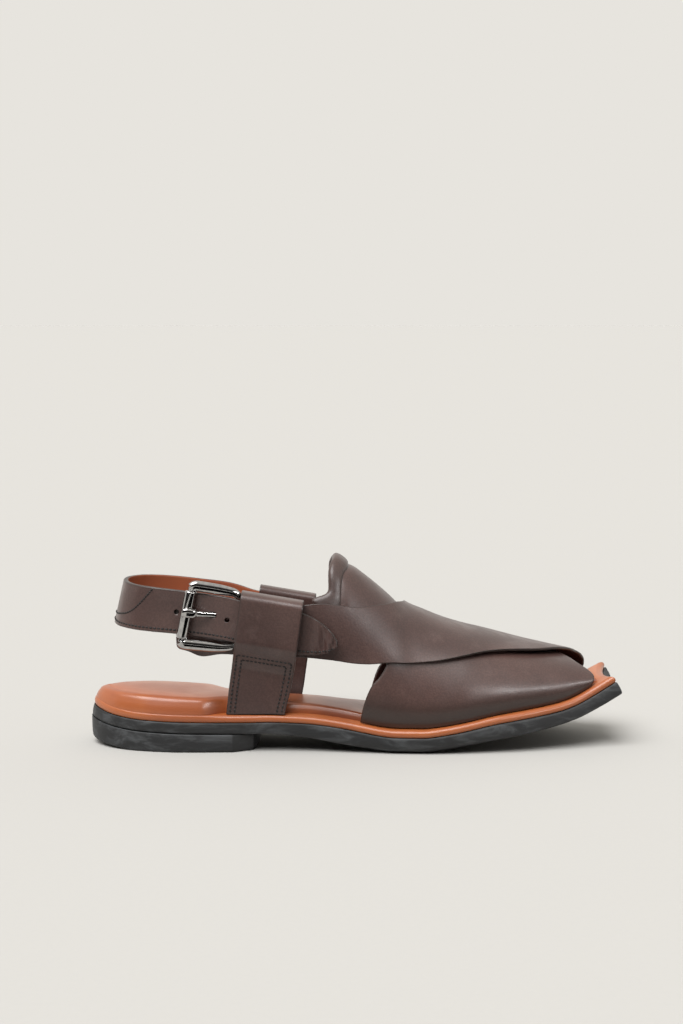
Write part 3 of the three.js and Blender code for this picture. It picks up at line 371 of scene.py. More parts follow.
def tube(name, us, around, place, finish, depth=1):
    """A cylinder raised ring by ring, each ring then put in its place."""
    plain = {"vertices": around, "radius": 1, "depth": 1, "location": (0, 0, 0.5)}
    piece = primitive(bpy.ops.mesh.primitive_cylinder_add, name, **plain)
    bpy.ops.object.transform_apply(location=True, rotation=False, scale=False)
    bpy.ops.object.mode_set(mode="EDIT")
    bpy.ops.mesh.select_mode(type="FACE")
    bpy.ops.mesh.select_all(action="DESELECT")
    bpy.ops.object.mode_set(mode="OBJECT")
    for face in piece.data.polygons:
        face.select = face.center.z > 0.99 and len(face.vertices) == around
    bpy.ops.object.mode_set(mode="EDIT")
    for _ in range(len(us) - 2):
        bpy.ops.mesh.extrude_region_move(TRANSFORM_OT_translate={"value": (0, 0, 1)})
    bpy.ops.mesh.select_mode(type="VERT")
    bpy.ops.object.mode_set(mode="OBJECT")
    mesh = piece.data
    flat = coordinates(mesh)
    u = np.asarray(us)[np.rint(flat[:, 2]).astype(int)]
    put(mesh, place(u, np.arctan2(flat[:, 1], flat[:, 0])))
    give(mesh, "rim", np.full(len(flat), FAR_FROM_EDGE))
    mesh.materials.append(finish)
    rounded(piece, depth)
    print(name, len(mesh.polygons), "faces")
    return piece


def belongs(piece, slot, *nodes):
    """The piece stands for CAD nodes and rides on the shoe."""
    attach(piece, "root")
    if nodes:
        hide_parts(*nodes)


# %% [markdown]
# ## Finishes
# Brown leather is waxed full-grain calf: chrome-tanned, drum-dyed and ironed, so it is softly
# glossy, a little cloudy, and has a fine even grain. Its cut edges are painted dark.
# The footbed is vegetable-tanned leather, glazed until it shines, and warmer where it is creased.
# The sole is moulded rubber, satin black. The buckle is steel plated in gunmetal.

# %% Node helpers
EDGE_REACH = 1.2


def linear(code):
    """Linear colour of an sRGB code such as "#62524a"."""
    parts = [int(code[k : k + 2], 16) / 255 for k in (1, 3, 5)]
    out = [c / 12.92 if c <= 0.04045 else ((c + 0.055) / 1.055) ** 2.4 for c in parts]
    return (*out, 1)


def add(tree, kind, inputs=None, **settings):
    """Adds a node, sets it up and links or fills its inputs."""
    node = tree.nodes.new("ShaderNode" + kind)
    for name, value in settings.items():
        setattr(node, name, value)
    for name, value in (inputs or {}).items():
        if isinstance(value, bpy.types.NodeSocket):
            tree.links.new(value, node.inputs[name])
        else:
            node.inputs[name].default_value = value
    return node


def finish_of(name):
    """A new finish with its surface shader, and the place of a point on the object."""
    finish = bpy.data.materials.new(name)
    finish.use_nodes = True
    tree = finish.node_tree
    tree.nodes.clear()
    surface = add(tree, "BsdfPrincipled")
    output = add(tree, "OutputMaterial")
    tree.links.new(surface.outputs["BSDF"], output.inputs["Surface"])
    where = add(tree, "TexCoord").outputs["Object"]
    return finish, tree, surface, where


def noise(tree, where, millimetres, detail=3.0, rough=0.5, warp=0.0):
    """Noise whose largest forms are about that many millimetres across."""
    inputs = {"Vector": where, "Scale": 1000 / millimetres, "Detail": detail}
    inputs["Roughness"] = rough
    inputs["Distortion"] = warp
    return add(tree, "TexNoise", inputs).outputs["Fac"]


def span(tree, value, low, high, start=0.0, end=1.0):
    """A value between low and high, spread between start and end."""
    inputs = {"Value": value, "From Min": low, "From Max": high, "To Min": start, "To Max": end}
    return add(tree, "MapRange", inputs, interpolation_type="SMOOTHSTEP").outputs["Result"]


def blend(tree, share, first, second, how="MIX"):
    inputs = {"Fac": share, "Color1": first, "Color2": second}
    return add(tree, "MixRGB", inputs, blend_type=how).outputs["Color"]


def raised(tree, surface, layers):
    """Bumps in millimetres: (height, how high)."""
    normal = None
    for height, millimetres in layers:
        inputs = {"Height": height, "Distance": millimetres / 1000, "Strength": 1.0}
        if normal is not None:
            inputs["Normal"] = normal
        normal = add(tree, "Bump", inputs).outputs["Normal"]
    tree.links.new(normal, surface.inputs["Normal"])


def attribute(tree, name):
    return add(tree, "Attribute", attribute_name=name).outputs["Fac"]


def coated(surface, coat, rough):
    """Leather's clear glaze."""
    surface.inputs["IOR"].default_value = 1.5
    surface.inputs["Coat Weight"].default_value = coat
    surface.inputs["Coat Roughness"].default_value = rough


def sheen(tree, surface, pattern, gloss, less, more):
    """Roughness that varies a little with a pattern."""
    shine = span(tree, pattern, 0.3, 0.7, gloss + less, gloss + more)
    tree.links.new(shine, surface.inputs["Roughness"])


def darker(tree, colour, name, reach, most, code):
    """The colour goes over to a darker one with a number that the vertices hold."""
    start, end = (most, 0) if name == "rim" else (0, most)
    share = span(tree, attribute(tree, name), 0.0, reach, start, end)
    return blend(tree, share, colour, linear(code))


# %% Brown leather
def brown_leather(name, deep, mid, pale, gloss):
    """Waxed calf leather: three browns, cloudy, with a fine grain and a darker edge."""
    finish, tree, surface, where = finish_of(name)
    clouds = noise(tree, where, 48, 2, 0.5, 0.3)
    rubbed = noise(tree, where, 11, 4, 0.6, 0.2)
    pebble = add(tree, "TexVoronoi", {"Vector": where, "Scale": 1000 / 1.3}).outputs["Distance"]
    pores = noise(tree, where, 0.9, 2, 0.6)
    colour = blend(tree, span(tree, clouds, 0.35, 0.65), linear(deep), linear(mid))
    flecks = span(tree, rubbed, 0.5, 0.8, 0, 0.3)
    colour = blend(tree, flecks, colour, linear(pale))
    speck = span(tree, pores, 0.4, 0.62, 0.84, 1.08)
    grey = add(tree, "CombineColor", {"Red": speck, "Green": speck, "Blue": speck})
    colour = blend(tree, 1.0, colour, grey.outputs["Color"], "MULTIPLY")
    # Painted shade: darker where the piece is in shade, low by the sole.
    colour = darker(tree, colour, "painted_shade", 1.0, 0.85, "#2a1d17")
    colour = darker(tree, colour, "rim", EDGE_REACH, 0.7, "#241a16")
    tree.links.new(colour, surface.inputs["Base Color"])
    sheen(tree, surface, rubbed, gloss, 0.05, -0.05)
    coated(surface, 0.25, 0.26)
    raised(tree, surface, [(clouds, 0.35), (pebble, 0.03), (pores, 0.04)])
    return finish


CALF = brown_leather("waxed_brown_calf_leather", "#432f2b", "#513b36", "#675450", 0.38)
COLLAR_CALF = brown_leather("soft_brown_collar_leather", "#3c2b28", "#493631", "#5d4b47", 0.44)


# %% Other leathers
def plain_leather(name, deep, mid, gloss, coat=0.0, crease="#7a3f26", line=0.35):
    """Glazed or lining leather: two tones, faint pores and a darker line at its edge."""
    finish, tree, surface, where = finish_of(name)
    clouds = noise(tree, where, 30, 3, 0.5, 0.3)
    pores = noise(tree, where, 1.0, 2, 0.6)
    colour = blend(tree, span(tree, clouds, 0.35, 0.65), linear(deep), linear(mid))
    colour = darker(tree, colour, "rim", EDGE_REACH, line, crease)
    # Painted shade: darker where the piece is in shade, under the arch.
    colour = darker(tree, colour, "painted_shade", 1.0, 0.6, "#5c3022")
    tree.links.new(colour, surface.inputs["Base Color"])
    sheen(tree, surface, clouds, gloss, 0.05, -0.05)
    coated(surface, coat, 0.2)
    raised(tree, surface, [(clouds, 0.4), (pores, 0.03)])
    return finish


FOOTBED_TAN = plain_leather("glazed_tan_footbed_leather", "#a2562d", "#ae6236", 0.36, 0.3)
RIM_TAN = plain_leather("glazed_tan_rim_leather", "#a95a2c", "#b56636", 0.38, 0.25)
LINING_TAN = plain_leather("tan_lining_leather", "#914828", "#9e5431", 0.5, crease="#2a1610", line=1.0)
# The lining under the bands and straps is darkened almost to black: painted shade for the inside of
# the shoe.
SHADED_LINING = plain_leather("lining_leather_painted_shade", "#28110e", "#351913", 0.6)
EDGE_PAINT = plain_leather("dark_edge_paint", "#2d231e", "#3a2e28", 0.42, 0.1, crease="#1d1613")
THREAD = plain_leather("dark_waxed_thread", "#0f0a08", "#17110e", 0.55, crease="#1a1411")


# %% Rubber and metal
def rubber(name, deep, mid):
    """Moulded rubber: satin black, with faint lighter streaks along its sides."""
    finish, tree, surface, where = finish_of(name)
    stretch = add(tree, "Mapping", {"Vector": where, "Scale": (0.25, 1, 1)}).outputs["Vector"]
    streaks = noise(tree, stretch, 6, 5, 0.65, 0.6)
    grit = noise(tree, where, 0.9, 2, 0.6)
    colour = blend(tree, span(tree, streaks, 0.42, 0.7), linear(deep), linear(mid))
    # Painted shade: darker where the piece is in shade, on the heel block's front.
    colour = darker(tree, colour, "painted_shade", 1.0, 0.85, "#050505")
    tree.links.new(colour, surface.inputs["Base Color"])
    sheen(tree, surface, streaks, 0.5, 0, 0.12)
    surface.inputs["IOR"].default_value = 1.52
    raised(tree, surface, [(streaks, 0.12), (grit, 0.05)])
    return finish


def plating(name, tone, gloss):
    """Gunmetal plating on steel: dark and mirror smooth, with a faint haze in its tone and gloss."""
    finish, tree, surface, where = finish_of(name)
    haze = noise(tree, where, 3, 3, 0.6)
    surface.inputs["Metallic"].default_value = 1
    colour = blend(tree, span(tree, haze, 0.3, 0.7), linear(tone), linear("#a5a4a4"))
    tree.links.new(colour, surface.inputs["Base Color"])
    sheen(tree, surface, haze, gloss, -0.02, 0.03)
    return finish


RUBBER = rubber("moulded_black_rubber", "#17181a", "#424446")
GUNMETAL = plating("gunmetal_plated_steel", "#bdbbb9", 0.09)
print("finishes:", len(bpy.data.materials))

# %% [markdown]
# ## Sole
# The outsole is one sheet of moulded rubber with an arch and a toe that turns up. A rubber block
# is glued under its heel. Over them lies a board wrapped in tan leather, whose rounded rim shows
# all round. Each is a plate that follows the sole's plan: denser rows go round the heel, where
# the plan turns fastest.

# %% Stations of the sole
ROUND_HEEL = HEEL_ROUNDING * (1 - np.cos(np.radians(np.linspace(3, 90, 22))))
ALONG = np.concatenate([ROUND_HEEL, np.linspace(HEEL_ROUNDING, SOLE_LENGTH, 76)[1:-1]])
ALONG = np.concatenate([ALONG, [SOLE_LENGTH - 1, SOLE_LENGTH]]) / SOLE_LENGTH
ACROSS = mixed(-1, 1, steps(14, 0.014))


def sole_place(profile):
    """Places for a sole plate. Profile gives (inset, toe inset, up) for each level."""

    def place(station, across, level):
        points = np.zeros((len(station), 3))
        for k, (inset, toe, up) in enumerate(profile):
            at = level == k
            s, a = station[at], across[at]
            near = inset(s) if callable(inset) else inset
            run, side = outline_place(s, a, near, toe)
            points[at] = sole_point(run, side, up(run, a))
        return points

    return place


def over_outsole(more):
    return lambda run, across: outsole_up(run) + more


# %% Outsole
SQUARE_INSET = 0.9
ROLLED_INSET = 5.5


def ball_share(run):
    along = run / SOLE_LENGTH
    return smooth(0.45, 0.55, along) * (1 - smooth(0.68, 0.8, along))


def rolled(station):
    """The lower edge is rolled under where the ball of the foot bears on it."""
    return mixed(SQUARE_INSET, ROLLED_INSET, ball_share(station * SOLE_LENGTH))


outsole = plate(
    "outsole_rubber",
    ALONG,
    ACROSS,
    4,
    sole_place(
        [
            (rolled, SQUARE_INSET, lambda run, a: 0 * run),
            (0.1, 0, lambda run, a: 0.8 + 1.3 * ball_share(run)),
            (0, 0, over_outsole(-0.4)),
            (0.25, 0.25, over_outsole(0)),
        ]
    ),
    (RUBBER,) * 3,
)
belongs(outsole, "black_rubber", "outsole")


# %% Heel block
HEEL_BEVEL = 3.6
BEVEL_REACH = 30.0
LOWER_TRIM = 0.9
UPPER_TRIM = 0.15
BREAST_RUN = BREAST_DEPTH * 0.8
BREAST_BOW = BREAST_DEPTH * 0.2


def heel_place(run, across, level):
    """The block's plan narrows behind its front, which is bowed forward."""
    trim = np.where(level == 0, LOWER_TRIM, UPPER_TRIM)
    front = smooth(BREAST_CORNER - 0.5, BREAST_CORNER + BREAST_RUN, run)
    share = 1 - 0.2 * np.maximum(run - BREAST_CORNER, 0) / BREAST_RUN
    base = np.minimum(run, BREAST_CORNER)
    lateral = -(half_width(base, 1) - trim)
    medial = half_width(base, 2) - trim
    side = share * mixed(lateral, medial, (across + 1) / 2)
    bow = BREAST_BOW * front * (1 - across**2)
    back = trim * np.maximum(1 - run / HEEL_ROUNDING, 0)
    x = run + bow + back - trim * (run >= HEEL_RUNS[-2])
    under = HEEL_BEVEL * np.maximum(1 - x / BEVEL_REACH, 0) ** 2
    height = np.choose(level, [under, under + 0.8, bottom_height(x) - 0.9, bottom_height(x) - 0.35])
    return np.stack([x, side, height], -1)


HEEL_RUNS = np.concatenate([ROUND_HEEL, np.linspace(HEEL_ROUNDING, BREAST_CORNER, 12)[1:]])
BREAST_RUNS = np.array([0.7, 2, 4.5, 7, 9.5, BREAST_RUN - 0.4, BREAST_RUN])
HEEL_RUNS = np.concatenate([HEEL_RUNS, BREAST_CORNER + BREAST_RUNS])


def on_breast(run, across):
    """Painted shade: the block's front is darker than its side."""
    return smooth(BREAST_CORNER, BREAST_CORNER + 0.7, run)


heel_block = plate(
    "heel_block_rubber",
    HEEL_RUNS,
    ACROSS,
    4,
    heel_place,
    (RUBBER,) * 3,
    painted_shade=on_breast,
)
belongs(heel_block, "black_rubber", "heel_block")

# %% Midsole with its rim
def rim_inset(heel, front):
    """The rim runs straight up into the heel pad and is rounded over further forward."""
    return lambda station: mixed(heel, front, smooth(0.2, 0.27, station))


midsole = plate(
    "midsole_rim",
    ALONG,
    ACROSS,
    5,
    sole_place(
        [
            (0.9, 0.9, over_outsole(0.1)),
            (0.1, 0.1, over_outsole(0.9)),
            (-0.15, -0.1, over_outsole(2.2)),
            (rim_inset(-0.2, 0.35), 0.35, over_outsole(3.6)),
            (rim_inset(0.1, 1.7), 1.7, lambda run, a: rim_up(run)),
        ]
    ),
    (RIM_TAN,) * 3,
)
belongs(midsole, "tan_leather", "midsole")

# %% [markdown]
# ## Footbed
# The insole is firm foam under glazed leather. Round the heel it is flush with the rim and high,
# then it steps inward and grows thin. It is stiff, so it is modelled as it lies, with a soft
# shoulder. Under the arch it is painted darker, as shade from the bands above it.

# %% Footbed shape
FOOTBED_HEEL = 9.5
FOOTBED_FRONT = 2.4
EDGE_SET_IN = 0.1
SIDE_SET_IN = 8.0
FRONT_SET_IN = 9.6


def footbed_inset(station):
    side = fair(FOOTBED, 2, station)
    front = fair(FOOTBED, 3, station)
    return mixed(EDGE_SET_IN, mixed(SIDE_SET_IN, FRONT_SET_IN, front), side)


def footbed_up(share, dome=0.0):
    def up(run, across):
        along = run / SOLE_LENGTH
        thick = mixed(FOOTBED_FRONT, FOOTBED_HEEL, fair(FOOTBED, 1, along))
        thick = thick * (1 - fair(FOOTBED, 4, along) * (across + 1) / 2)
        return rim_up(run) + SEAM + thick * share + dome * (1 - across**2)

    return up


def footbed_level(more):
    return lambda station: footbed_inset(station) + more * shoulder(station)


def shoulder(station):
    """The edge is softer round the thick heel than on the thin front."""
    return mixed(1.0, 0.45, smooth(0.3, 0.55, station))


# %% Footbed piece
# Painted shade: the footbed is darker under the arch, where the bands shade it.
def under_arch(station, across):
    return smooth(0.36, 0.46, station) * (1 - smooth(0.62, 0.7, station))


insole = plate(
    "insole_footbed",
    ALONG,
    mixed(-1, 1, steps(18, 0.03)),
    8,
    sole_place(
        [
            (footbed_level(0.9), 8.0, lambda run, a: rim_up(run) - 1.6),
            (footbed_level(-0.05), 7.0, lambda run, a: rim_up(run) - 1.3),
            (footbed_level(0.4), 7.0, footbed_up(0.32)),
            (footbed_level(0.9), 7.1, footbed_up(0.5)),
            (footbed_level(1.4), 7.3, footbed_up(0.64)),
            (footbed_level(1.9), 7.6, footbed_up(0.82)),
            (footbed_level(3.1), 8.2, footbed_up(0.95)),
            (footbed_level(5.6), 9.6, footbed_up(1.0, 0.8)),
        ]
    ),
    (FOOTBED_TAN,) * 3,
    painted_shade=under_arch,
)
belongs(insole, "tan_leather", "insole")

# %% [markdown]
# ## Crossed bands
# Two cut leather bands rise from opposite sides of the ball, cross over the instep and run back
# to the other side. They were lasted, so they hold the foot's shape with no folds. The band over
# the other stands a little off it along its front edge, where a dark gap shows. The tables below
# are the two edges of a band from its foot over the crest to the end of its tail.

# %% Edges of a band
# Each table has a share of the sole's length, and a turn round the last
BAND_FRONT = [
    (0.937, 0), (0.942, 0.05), (0.945, 0.12), (0.944, 0.2), (0.935, 0.29), (0.917, 0.38),
    (0.903, 0.46), (0.88, 0.535), (0.845, 0.61), (0.789, 0.664), (0.719, 0.728), (0.652, 0.782),
    (0.585, 0.823), (0.522, 0.879), (0.462, 0.923), (0.398, 0.952), (0.344, 0.961), (0.298, 0.96),
    (0.254, 0.958), (0.217, 0.962), (0.191, 0.955), (0.172, 0.95), (0.169, 0.937),
]
BAND_REAR = [
    (0.508, 0), (0.515, 0.03), (0.528, 0.07), (0.547, 0.11), (0.561, 0.17), (0.568, 0.25),
    (0.5795, 0.345), (0.5875, 0.435), (0.5845, 0.53), (0.566, 0.62), (0.539, 0.684), (0.51, 0.735),
    (0.472, 0.783), (0.431, 0.818), (0.391, 0.85), (0.351, 0.86), (0.311, 0.868), (0.271, 0.876),
    (0.234, 0.879), (0.207, 0.883), (0.187, 0.898), (0.172, 0.916), (0.169, 0.923),
]
BAND_ROWS = len(BAND_FRONT) - 1
BAND_THICKNESS = 1.7
OVER_BASE = 1.75
FAR_FOOT_SHIFT = 6
FAR_THROAT_SHIFT = 3
FAR_TAIL_DROP = 0.035
FRONT_LIFT = 2.2
TIP_LIFT = 1.5


def over_edges(row):
    """How far the outer band's front and rear edges lie off their tables."""
    tip = -0.006 * smooth(0.4, 2, row) * (1 - smooth(3.2, 5, row))
    tip = tip + 0.004 * smooth(4.5, 5.5, row) * (1 - smooth(6.5, 8, row))
    sag = 0.016 * smooth(6.5, 8.4, row) * (1 - smooth(8.8, 10, row))
    sag = sag + 0.006 * smooth(8.8, 10, row) * (1 - smooth(12.5, 14, row))
    crest = -0.005 * smooth(5, 7, row) * (1 - smooth(8.5, 10, row))
    return np.stack([tip, sag], -1), np.stack([crest, 0 * row], -1)


def band_point(row, v, out, over):
    """A point of a band at a row of its table, a share of its width, and out from its base."""
    front = through(BAND_FRONT, row / BAND_ROWS)
    rear = through(BAND_REAR, row / BAND_ROWS)
    foot_shift = FAR_FOOT_SHIFT * (1 - smooth(2, 8.5, row))
    throat_shift = FAR_THROAT_SHIFT * smooth(7, 8.5, row) * (1 - smooth(9.5, 11.5, row))
    shift = (foot_shift if over else throat_shift) / SOLE_LENGTH
    if over:
        front_move, rear_move = over_edges(row)
        front, rear = front + front_move, rear + rear_move
    along = mixed(front[:, 0], rear[:, 0] + shift, v)
    turn = np.maximum(mixed(front[:, 1], rear[:, 1], v), 0)
    if not over:
        turn = turn + FAR_TAIL_DROP * smooth(7.5, 12, row) * v
        return last_point(along * SOLE_LENGTH, turn, out)
    lifted = FRONT_LIFT * smooth(3, 7, row) * (1 - smooth(8.5, 13, row))
    lifted = lifted + TIP_LIFT * smooth(0.8, 2, row) * (1 - smooth(3, 6, row))
    base = OVER_BASE * smooth(0.03, 0.12, turn) * smooth(0.215, 0.268, along)
    return last_point(along * SOLE_LENGTH, 1 - turn, base + lifted * (1 - v) ** 4 + out)


def band_place(over):
    return lambda row, v, level: band_point(row, v, BAND_THICKNESS * level, over)


def near_foot(row, v):
    """Painted shade: the leather is darker where it turns down to the sole."""
    return 1 - smooth(0.2, 2.6, row)


# %% Both bands
BAND_FINISHES = (SHADED_LINING, EDGE_PAINT, CALF)
UNDER_ROWS = 17


def band(name, rows, over):
    places = band_place(over)
    return plate(name, rows, steps(26), 2, places, BAND_FINISHES, painted_shade=near_foot)


upper = band("band_over", BAND_ROWS * steps(110, 0.002), True)
under_band = band("band_under", UNDER_ROWS * steps(90, 0.002), False)
only(upper)
under_band.select_set(True)
bpy.ops.object.join()
upper.name = "upper_crossed_bands"
belongs(upper, "brown_leather", "upper")

# %% [markdown]
# ## Tongue and collar
# Under the crossing lies a soft leather tongue. Along its rear edge runs a roll of foam covered in
# thin leather, sewn down in front with one seam. The roll follows the last from one side over
# the crest to the other, and is widest at the crest.

# %% Tongue
TONGUE_START = 0.17
TONGUE_REAR = 0.449
TONGUE_FRONT = 0.652
TONGUE_UNDER = 0.35
TONGUE_THICKNESS = 1.6
TONGUE_DIP = 1.3
COLLAR_WIDTH = 8.6
COLLAR_SHIFT = 4.4
COLLAR_HALF = 2.6
COLLAR_UNDER = 0.55
COLLAR_FLARE = 11
COLLAR_WRINKLES = 150
TONGUE_TUCK = 2.2


def crest_share(turn):
    return smooth(0.3, 0.47, turn) * (1 - smooth(0.53, 0.7, turn))


def tongue_rear(turn):
    return TONGUE_REAR * SOLE_LENGTH + COLLAR_WIDTH + COLLAR_SHIFT * crest_share(turn)


def tongue_place(share, v, level):
    turn = mixed(TONGUE_START, 1 - TONGUE_START, share)
    x = mixed(tongue_rear(turn) - TONGUE_TUCK, TONGUE_FRONT * SOLE_LENGTH, v)
    dip = TONGUE_DIP * (1 - smooth(0, 0.07, v))
    return last_point(x, turn, -TONGUE_UNDER - TONGUE_THICKNESS * (1 - level) - dip)


tongue = plate("tongue_leather", steps(70), steps(16), 2, tongue_place, BAND_FINISHES)
belongs(tongue, "brown_leather", "tongue")


# %% Collar
def collar_place(share, angle):
    """Rings of a padded roll, with small wrinkles on its outer side."""
    turn = mixed(TONGUE_START, 1 - TONGUE_START, share)
    flare = COLLAR_FLARE * (1 - smooth(0.17, 0.262, turn)) ** 1.6
    width = COLLAR_WIDTH + COLLAR_SHIFT / 3 * crest_share(turn) + flare
    x = tongue_rear(turn) - width / 2
    rise = 0.9 * smooth(0.24, 0.32, turn) * (1 - smooth(0.68, 0.76, turn))
    center = last_point(x, turn, rise - COLLAR_UNDER - COLLAR_HALF)
    outward = unit(last_point(x, turn, 0) - center)
    forward = unit(last_surface(x + 1, turn) - last_surface(x - 1, turn))
    run = width / 2 * powered(np.cos(angle), 0.8)
    up = COLLAR_HALF * powered(np.sin(angle), 0.8)
    pull = 1 + 0.02 * np.sin(share * COLLAR_WRINKLES) * (np.sin(angle) > 0.3)
    return center + forward * run[:, None] + outward * (up * pull)[:, None]


collar = tube("collar_roll", np.linspace(0, 1, 60), 24, collar_place, COLLAR_CALF)
belongs(collar, "dark_leather", "tongue_collar")

# %% [markdown]
# ## Side straps
# On each side a strip stands up from the sole, folds over into a loop for the heel strap, and comes
# back down on itself, where it is sewn with a double row in a square. The strip is one plate that
# follows the loop's section.

# %% Section of a side strap
STRAP_WIDTH = 32.5
STRAP_THICKNESS = 2.0
STRAP_LEAN = 0.138
STRAP_TILT = 0.17
SPREAD_REACH = 30
FOLD_ROUNDNESS = 0.65
LATERAL = {
    "sign": -1, "base": 94.0, "top": 87.4, "inside": -0.25, "outside": 12.4, "fold": 5.2,
    "stitched": 44.0, "open": 62.0, "waist": 0.0, "spread": 1.6, "seam": 54.6,
}
MEDIAL = {
    "sign": 1, "base": 102.4, "top": 82.1, "inside": -1.7, "outside": 8.0, "fold": 3.8,
    "stitched": 40.0, "open": 54.0, "waist": 4.2, "spread": 0.0, "seam": 48.0,
}


def side_of_last(strap, x, z):
    along = x / SOLE_LENGTH
    floor = midsole_top(x) + SEAM
    rise = INSTEP_HEIGHT * fair(LAST, 1, along) - floor
    square = fair(LAST, 4, along)
    share = np.clip((z - floor) / rise, 0, 0.98)
    half = BALL_WIDTH * fair(LAST, 2 if strap["sign"] < 0 else 3, along)
    return half * (1 - share**square) ** (1 / square)


def strap_foot(strap):
    return float(midsole_top(np.array([strap["base"]]))[0] + SEAM)


def strap_point(strap, out, up, across):
    """A point of a side strap: out from the last, up the strap and across its width."""
    foot = strap_foot(strap)
    width = across * STRAP_WIDTH / 2
    height = np.maximum(up, foot)
    x = strap["base"] + width + STRAP_LEAN * (height - foot)
    x = x + strap["spread"] * smooth(foot, foot + SPREAD_REACH, height) * (across + 1) / 2
    free = smooth(foot, (foot + strap["stitched"]) / 2 + STRAP_THICKNESS, height)
    follow = midsole_top(x) + SEAM - foot
    z = height + mixed(follow, -STRAP_TILT * width, free)
    near = side_of_last(strap, x, z)
    plain = side_of_last(strap, x, np.full_like(z, strap["open"]))
    share = smooth(strap["inside"] + STRAP_THICKNESS * 1.5, strap["outside"], out)
    drawn_in = strap["waist"] * (1 - smooth(foot, strap["stitched"], height))
    side = mixed(near, plain, share) + out - drawn_in
    return np.stack([x, strap["sign"] * side, z], -1)


def sewn_place(strap):
    """Middle of the outer layer where it is sewn down on the inner one."""
    return strap["inside"] + STRAP_THICKNESS + 0.1


def strap_line(strap):
    """Middle of the strip's thickness from its inner foot over the fold to its outer foot."""
    foot = strap_foot(strap)
    crown = strap["top"] - 1 - strap["fold"]
    middle = (strap["inside"] + strap["outside"]) / 2
    half = (strap["outside"] - strap["inside"]) / 2
    doubled = sewn_place(strap)
    line = [(strap["inside"], up) for up in np.linspace(foot, crown, 14)]
    for angle in np.radians(np.linspace(8, 172, 25)):
        turn = half * powered(np.cos(angle), FOLD_ROUNDNESS)
        rise = strap["fold"] * powered(np.sin(angle), FOLD_ROUNDNESS)
        line.append((middle - turn, crown + rise))
    line += [(strap["outside"], up) for up in np.linspace(crown, strap["open"], 5)]
    for share in np.linspace(0.1, 0.9, 9):
        out = mixed(strap["outside"], doubled, smooth(0, 1, share))
        line.append((float(out), mixed(strap["open"], strap["stitched"], share)))
    line += [(doubled, up) for up in np.linspace(strap["stitched"], foot, 12)]
    return np.array(line)


def strap_place(strap):
    line = strap_line(strap)

    def place(share, v, level):
        here = through(line, share)
        ahead = through(line, share + 0.004) - through(line, share - 0.004)
        normal = unit(np.stack([-ahead[:, 1], ahead[:, 0]], -1))
        moved = here + normal * (level - 0.5)[:, None] * (STRAP_THICKNESS - 0.2)
        return strap_point(strap, moved[:, 0], moved[:, 1], mixed(-1, 1, v))

    return place


# %% Both side straps
SIDE_STRAPS = {"side_strap_lateral": LATERAL, "side_strap_medial": MEDIAL}
for name, strap in SIDE_STRAPS.items():
    along, wide = steps(150, 0.002), steps(14, 0.02)
    piece = plate(name + "_loop", along, wide, 2, strap_place(strap), BAND_FINISHES)
    belongs(piece, "brown_leather", name)

# %% [markdown]
# ## Heel strap
# The strap starts at its pointed tip, passes through the loop and the buckle, goes round the heel
# and ends just past the far loop. It is two leathers glued back to back: brown outside, tan inside.
# Punched holes are cut through it for the prong.

# %% Line of the heel strap
# Share of the length and of the width, lower and upper edge, and how far the top leans in
HEEL_STRAP = [
    (0.467, -0.372, 0.574, 0.598, 0), (0.457, -0.367, 0.55, 0.643, 0),
    (0.438, -0.36, 0.529, 0.692, 0), (0.416, -0.353, 0.523, 0.728, 0),
    (0.392, -0.35, 0.526, 0.752, 0), (0.36, -0.358, 0.543, 0.773, 0),
    (0.325, -0.374, 0.565, 0.797, 0), (0.298, -0.381, 0.578, 0.808, 0),
    (0.27, -0.372, 0.597, 0.828, 0), (0.235, -0.347, 0.611, 0.841, 0),
    (0.19, -0.318, 0.623, 0.855, 0), (0.158, -0.31, 0.632, 0.864, 0.02),
    (0.125, -0.296, 0.639, 0.873, 0.06), (0.096, -0.262, 0.646, 0.879, 0.12),
    (0.072, -0.19, 0.653, 0.884, 0.19), (0.062, -0.095, 0.657, 0.886, 0.22),
    (0.061, 0.01, 0.656, 0.886, 0.22), (0.072, 0.115, 0.653, 0.884, 0.19),
    (0.1, 0.2, 0.646, 0.879, 0.13), (0.145, 0.265, 0.632, 0.865, 0.07),
    (0.2, 0.302, 0.61, 0.843, 0.03), (0.26, 0.322, 0.586, 0.816, 0),
    (0.31, 0.329, 0.541, 0.771, 0), (0.36, 0.333, 0.521, 0.748, 0),
    (0.395, 0.337, 0.514, 0.736, 0), (0.43, 0.342, 0.508, 0.729, 0),
    (0.46, 0.346, 0.502, 0.722, 0),
]
HEEL_STRAP_WIDTH = 24.5
HEEL_STRAP_THICKNESS = 2.6
TIP_OFF = 2.4
CREASE_HEIGHT = 0.75
STRAP_LINE = [(row[0] * SOLE_LENGTH, row[1] * BALL_WIDTH, 0) for row in HEEL_STRAP]
STRAP_HEIGHTS = []
for _, _, low, high, lean in HEEL_STRAP:
    middle = (low + high) / 2 * INSTEP_HEIGHT
    narrow = min((high - low) * INSTEP_HEIGHT, HEEL_STRAP_WIDTH)
    STRAP_HEIGHTS.append((middle - narrow / 2, middle + narrow / 2, lean * HEEL_STRAP_WIDTH))


def heel_strap_point(share, up, out):
    """A point of the heel strap: along it, up its width and out from its middle."""
    place = through(STRAP_LINE, share)
    ahead = through(STRAP_LINE, share + 0.002) - through(STRAP_LINE, share - 0.002)
    outward = unit(np.stack([-ahead[:, 1], ahead[:, 0], 0 * share], -1))
    heights = through(STRAP_HEIGHTS, share)
    moved = out - heights[:, 2] * (up - 0.5)
    point = place + outward * moved[:, None]
    point[:, 2] = mixed(heights[:, 0], heights[:, 1], up)
    return point


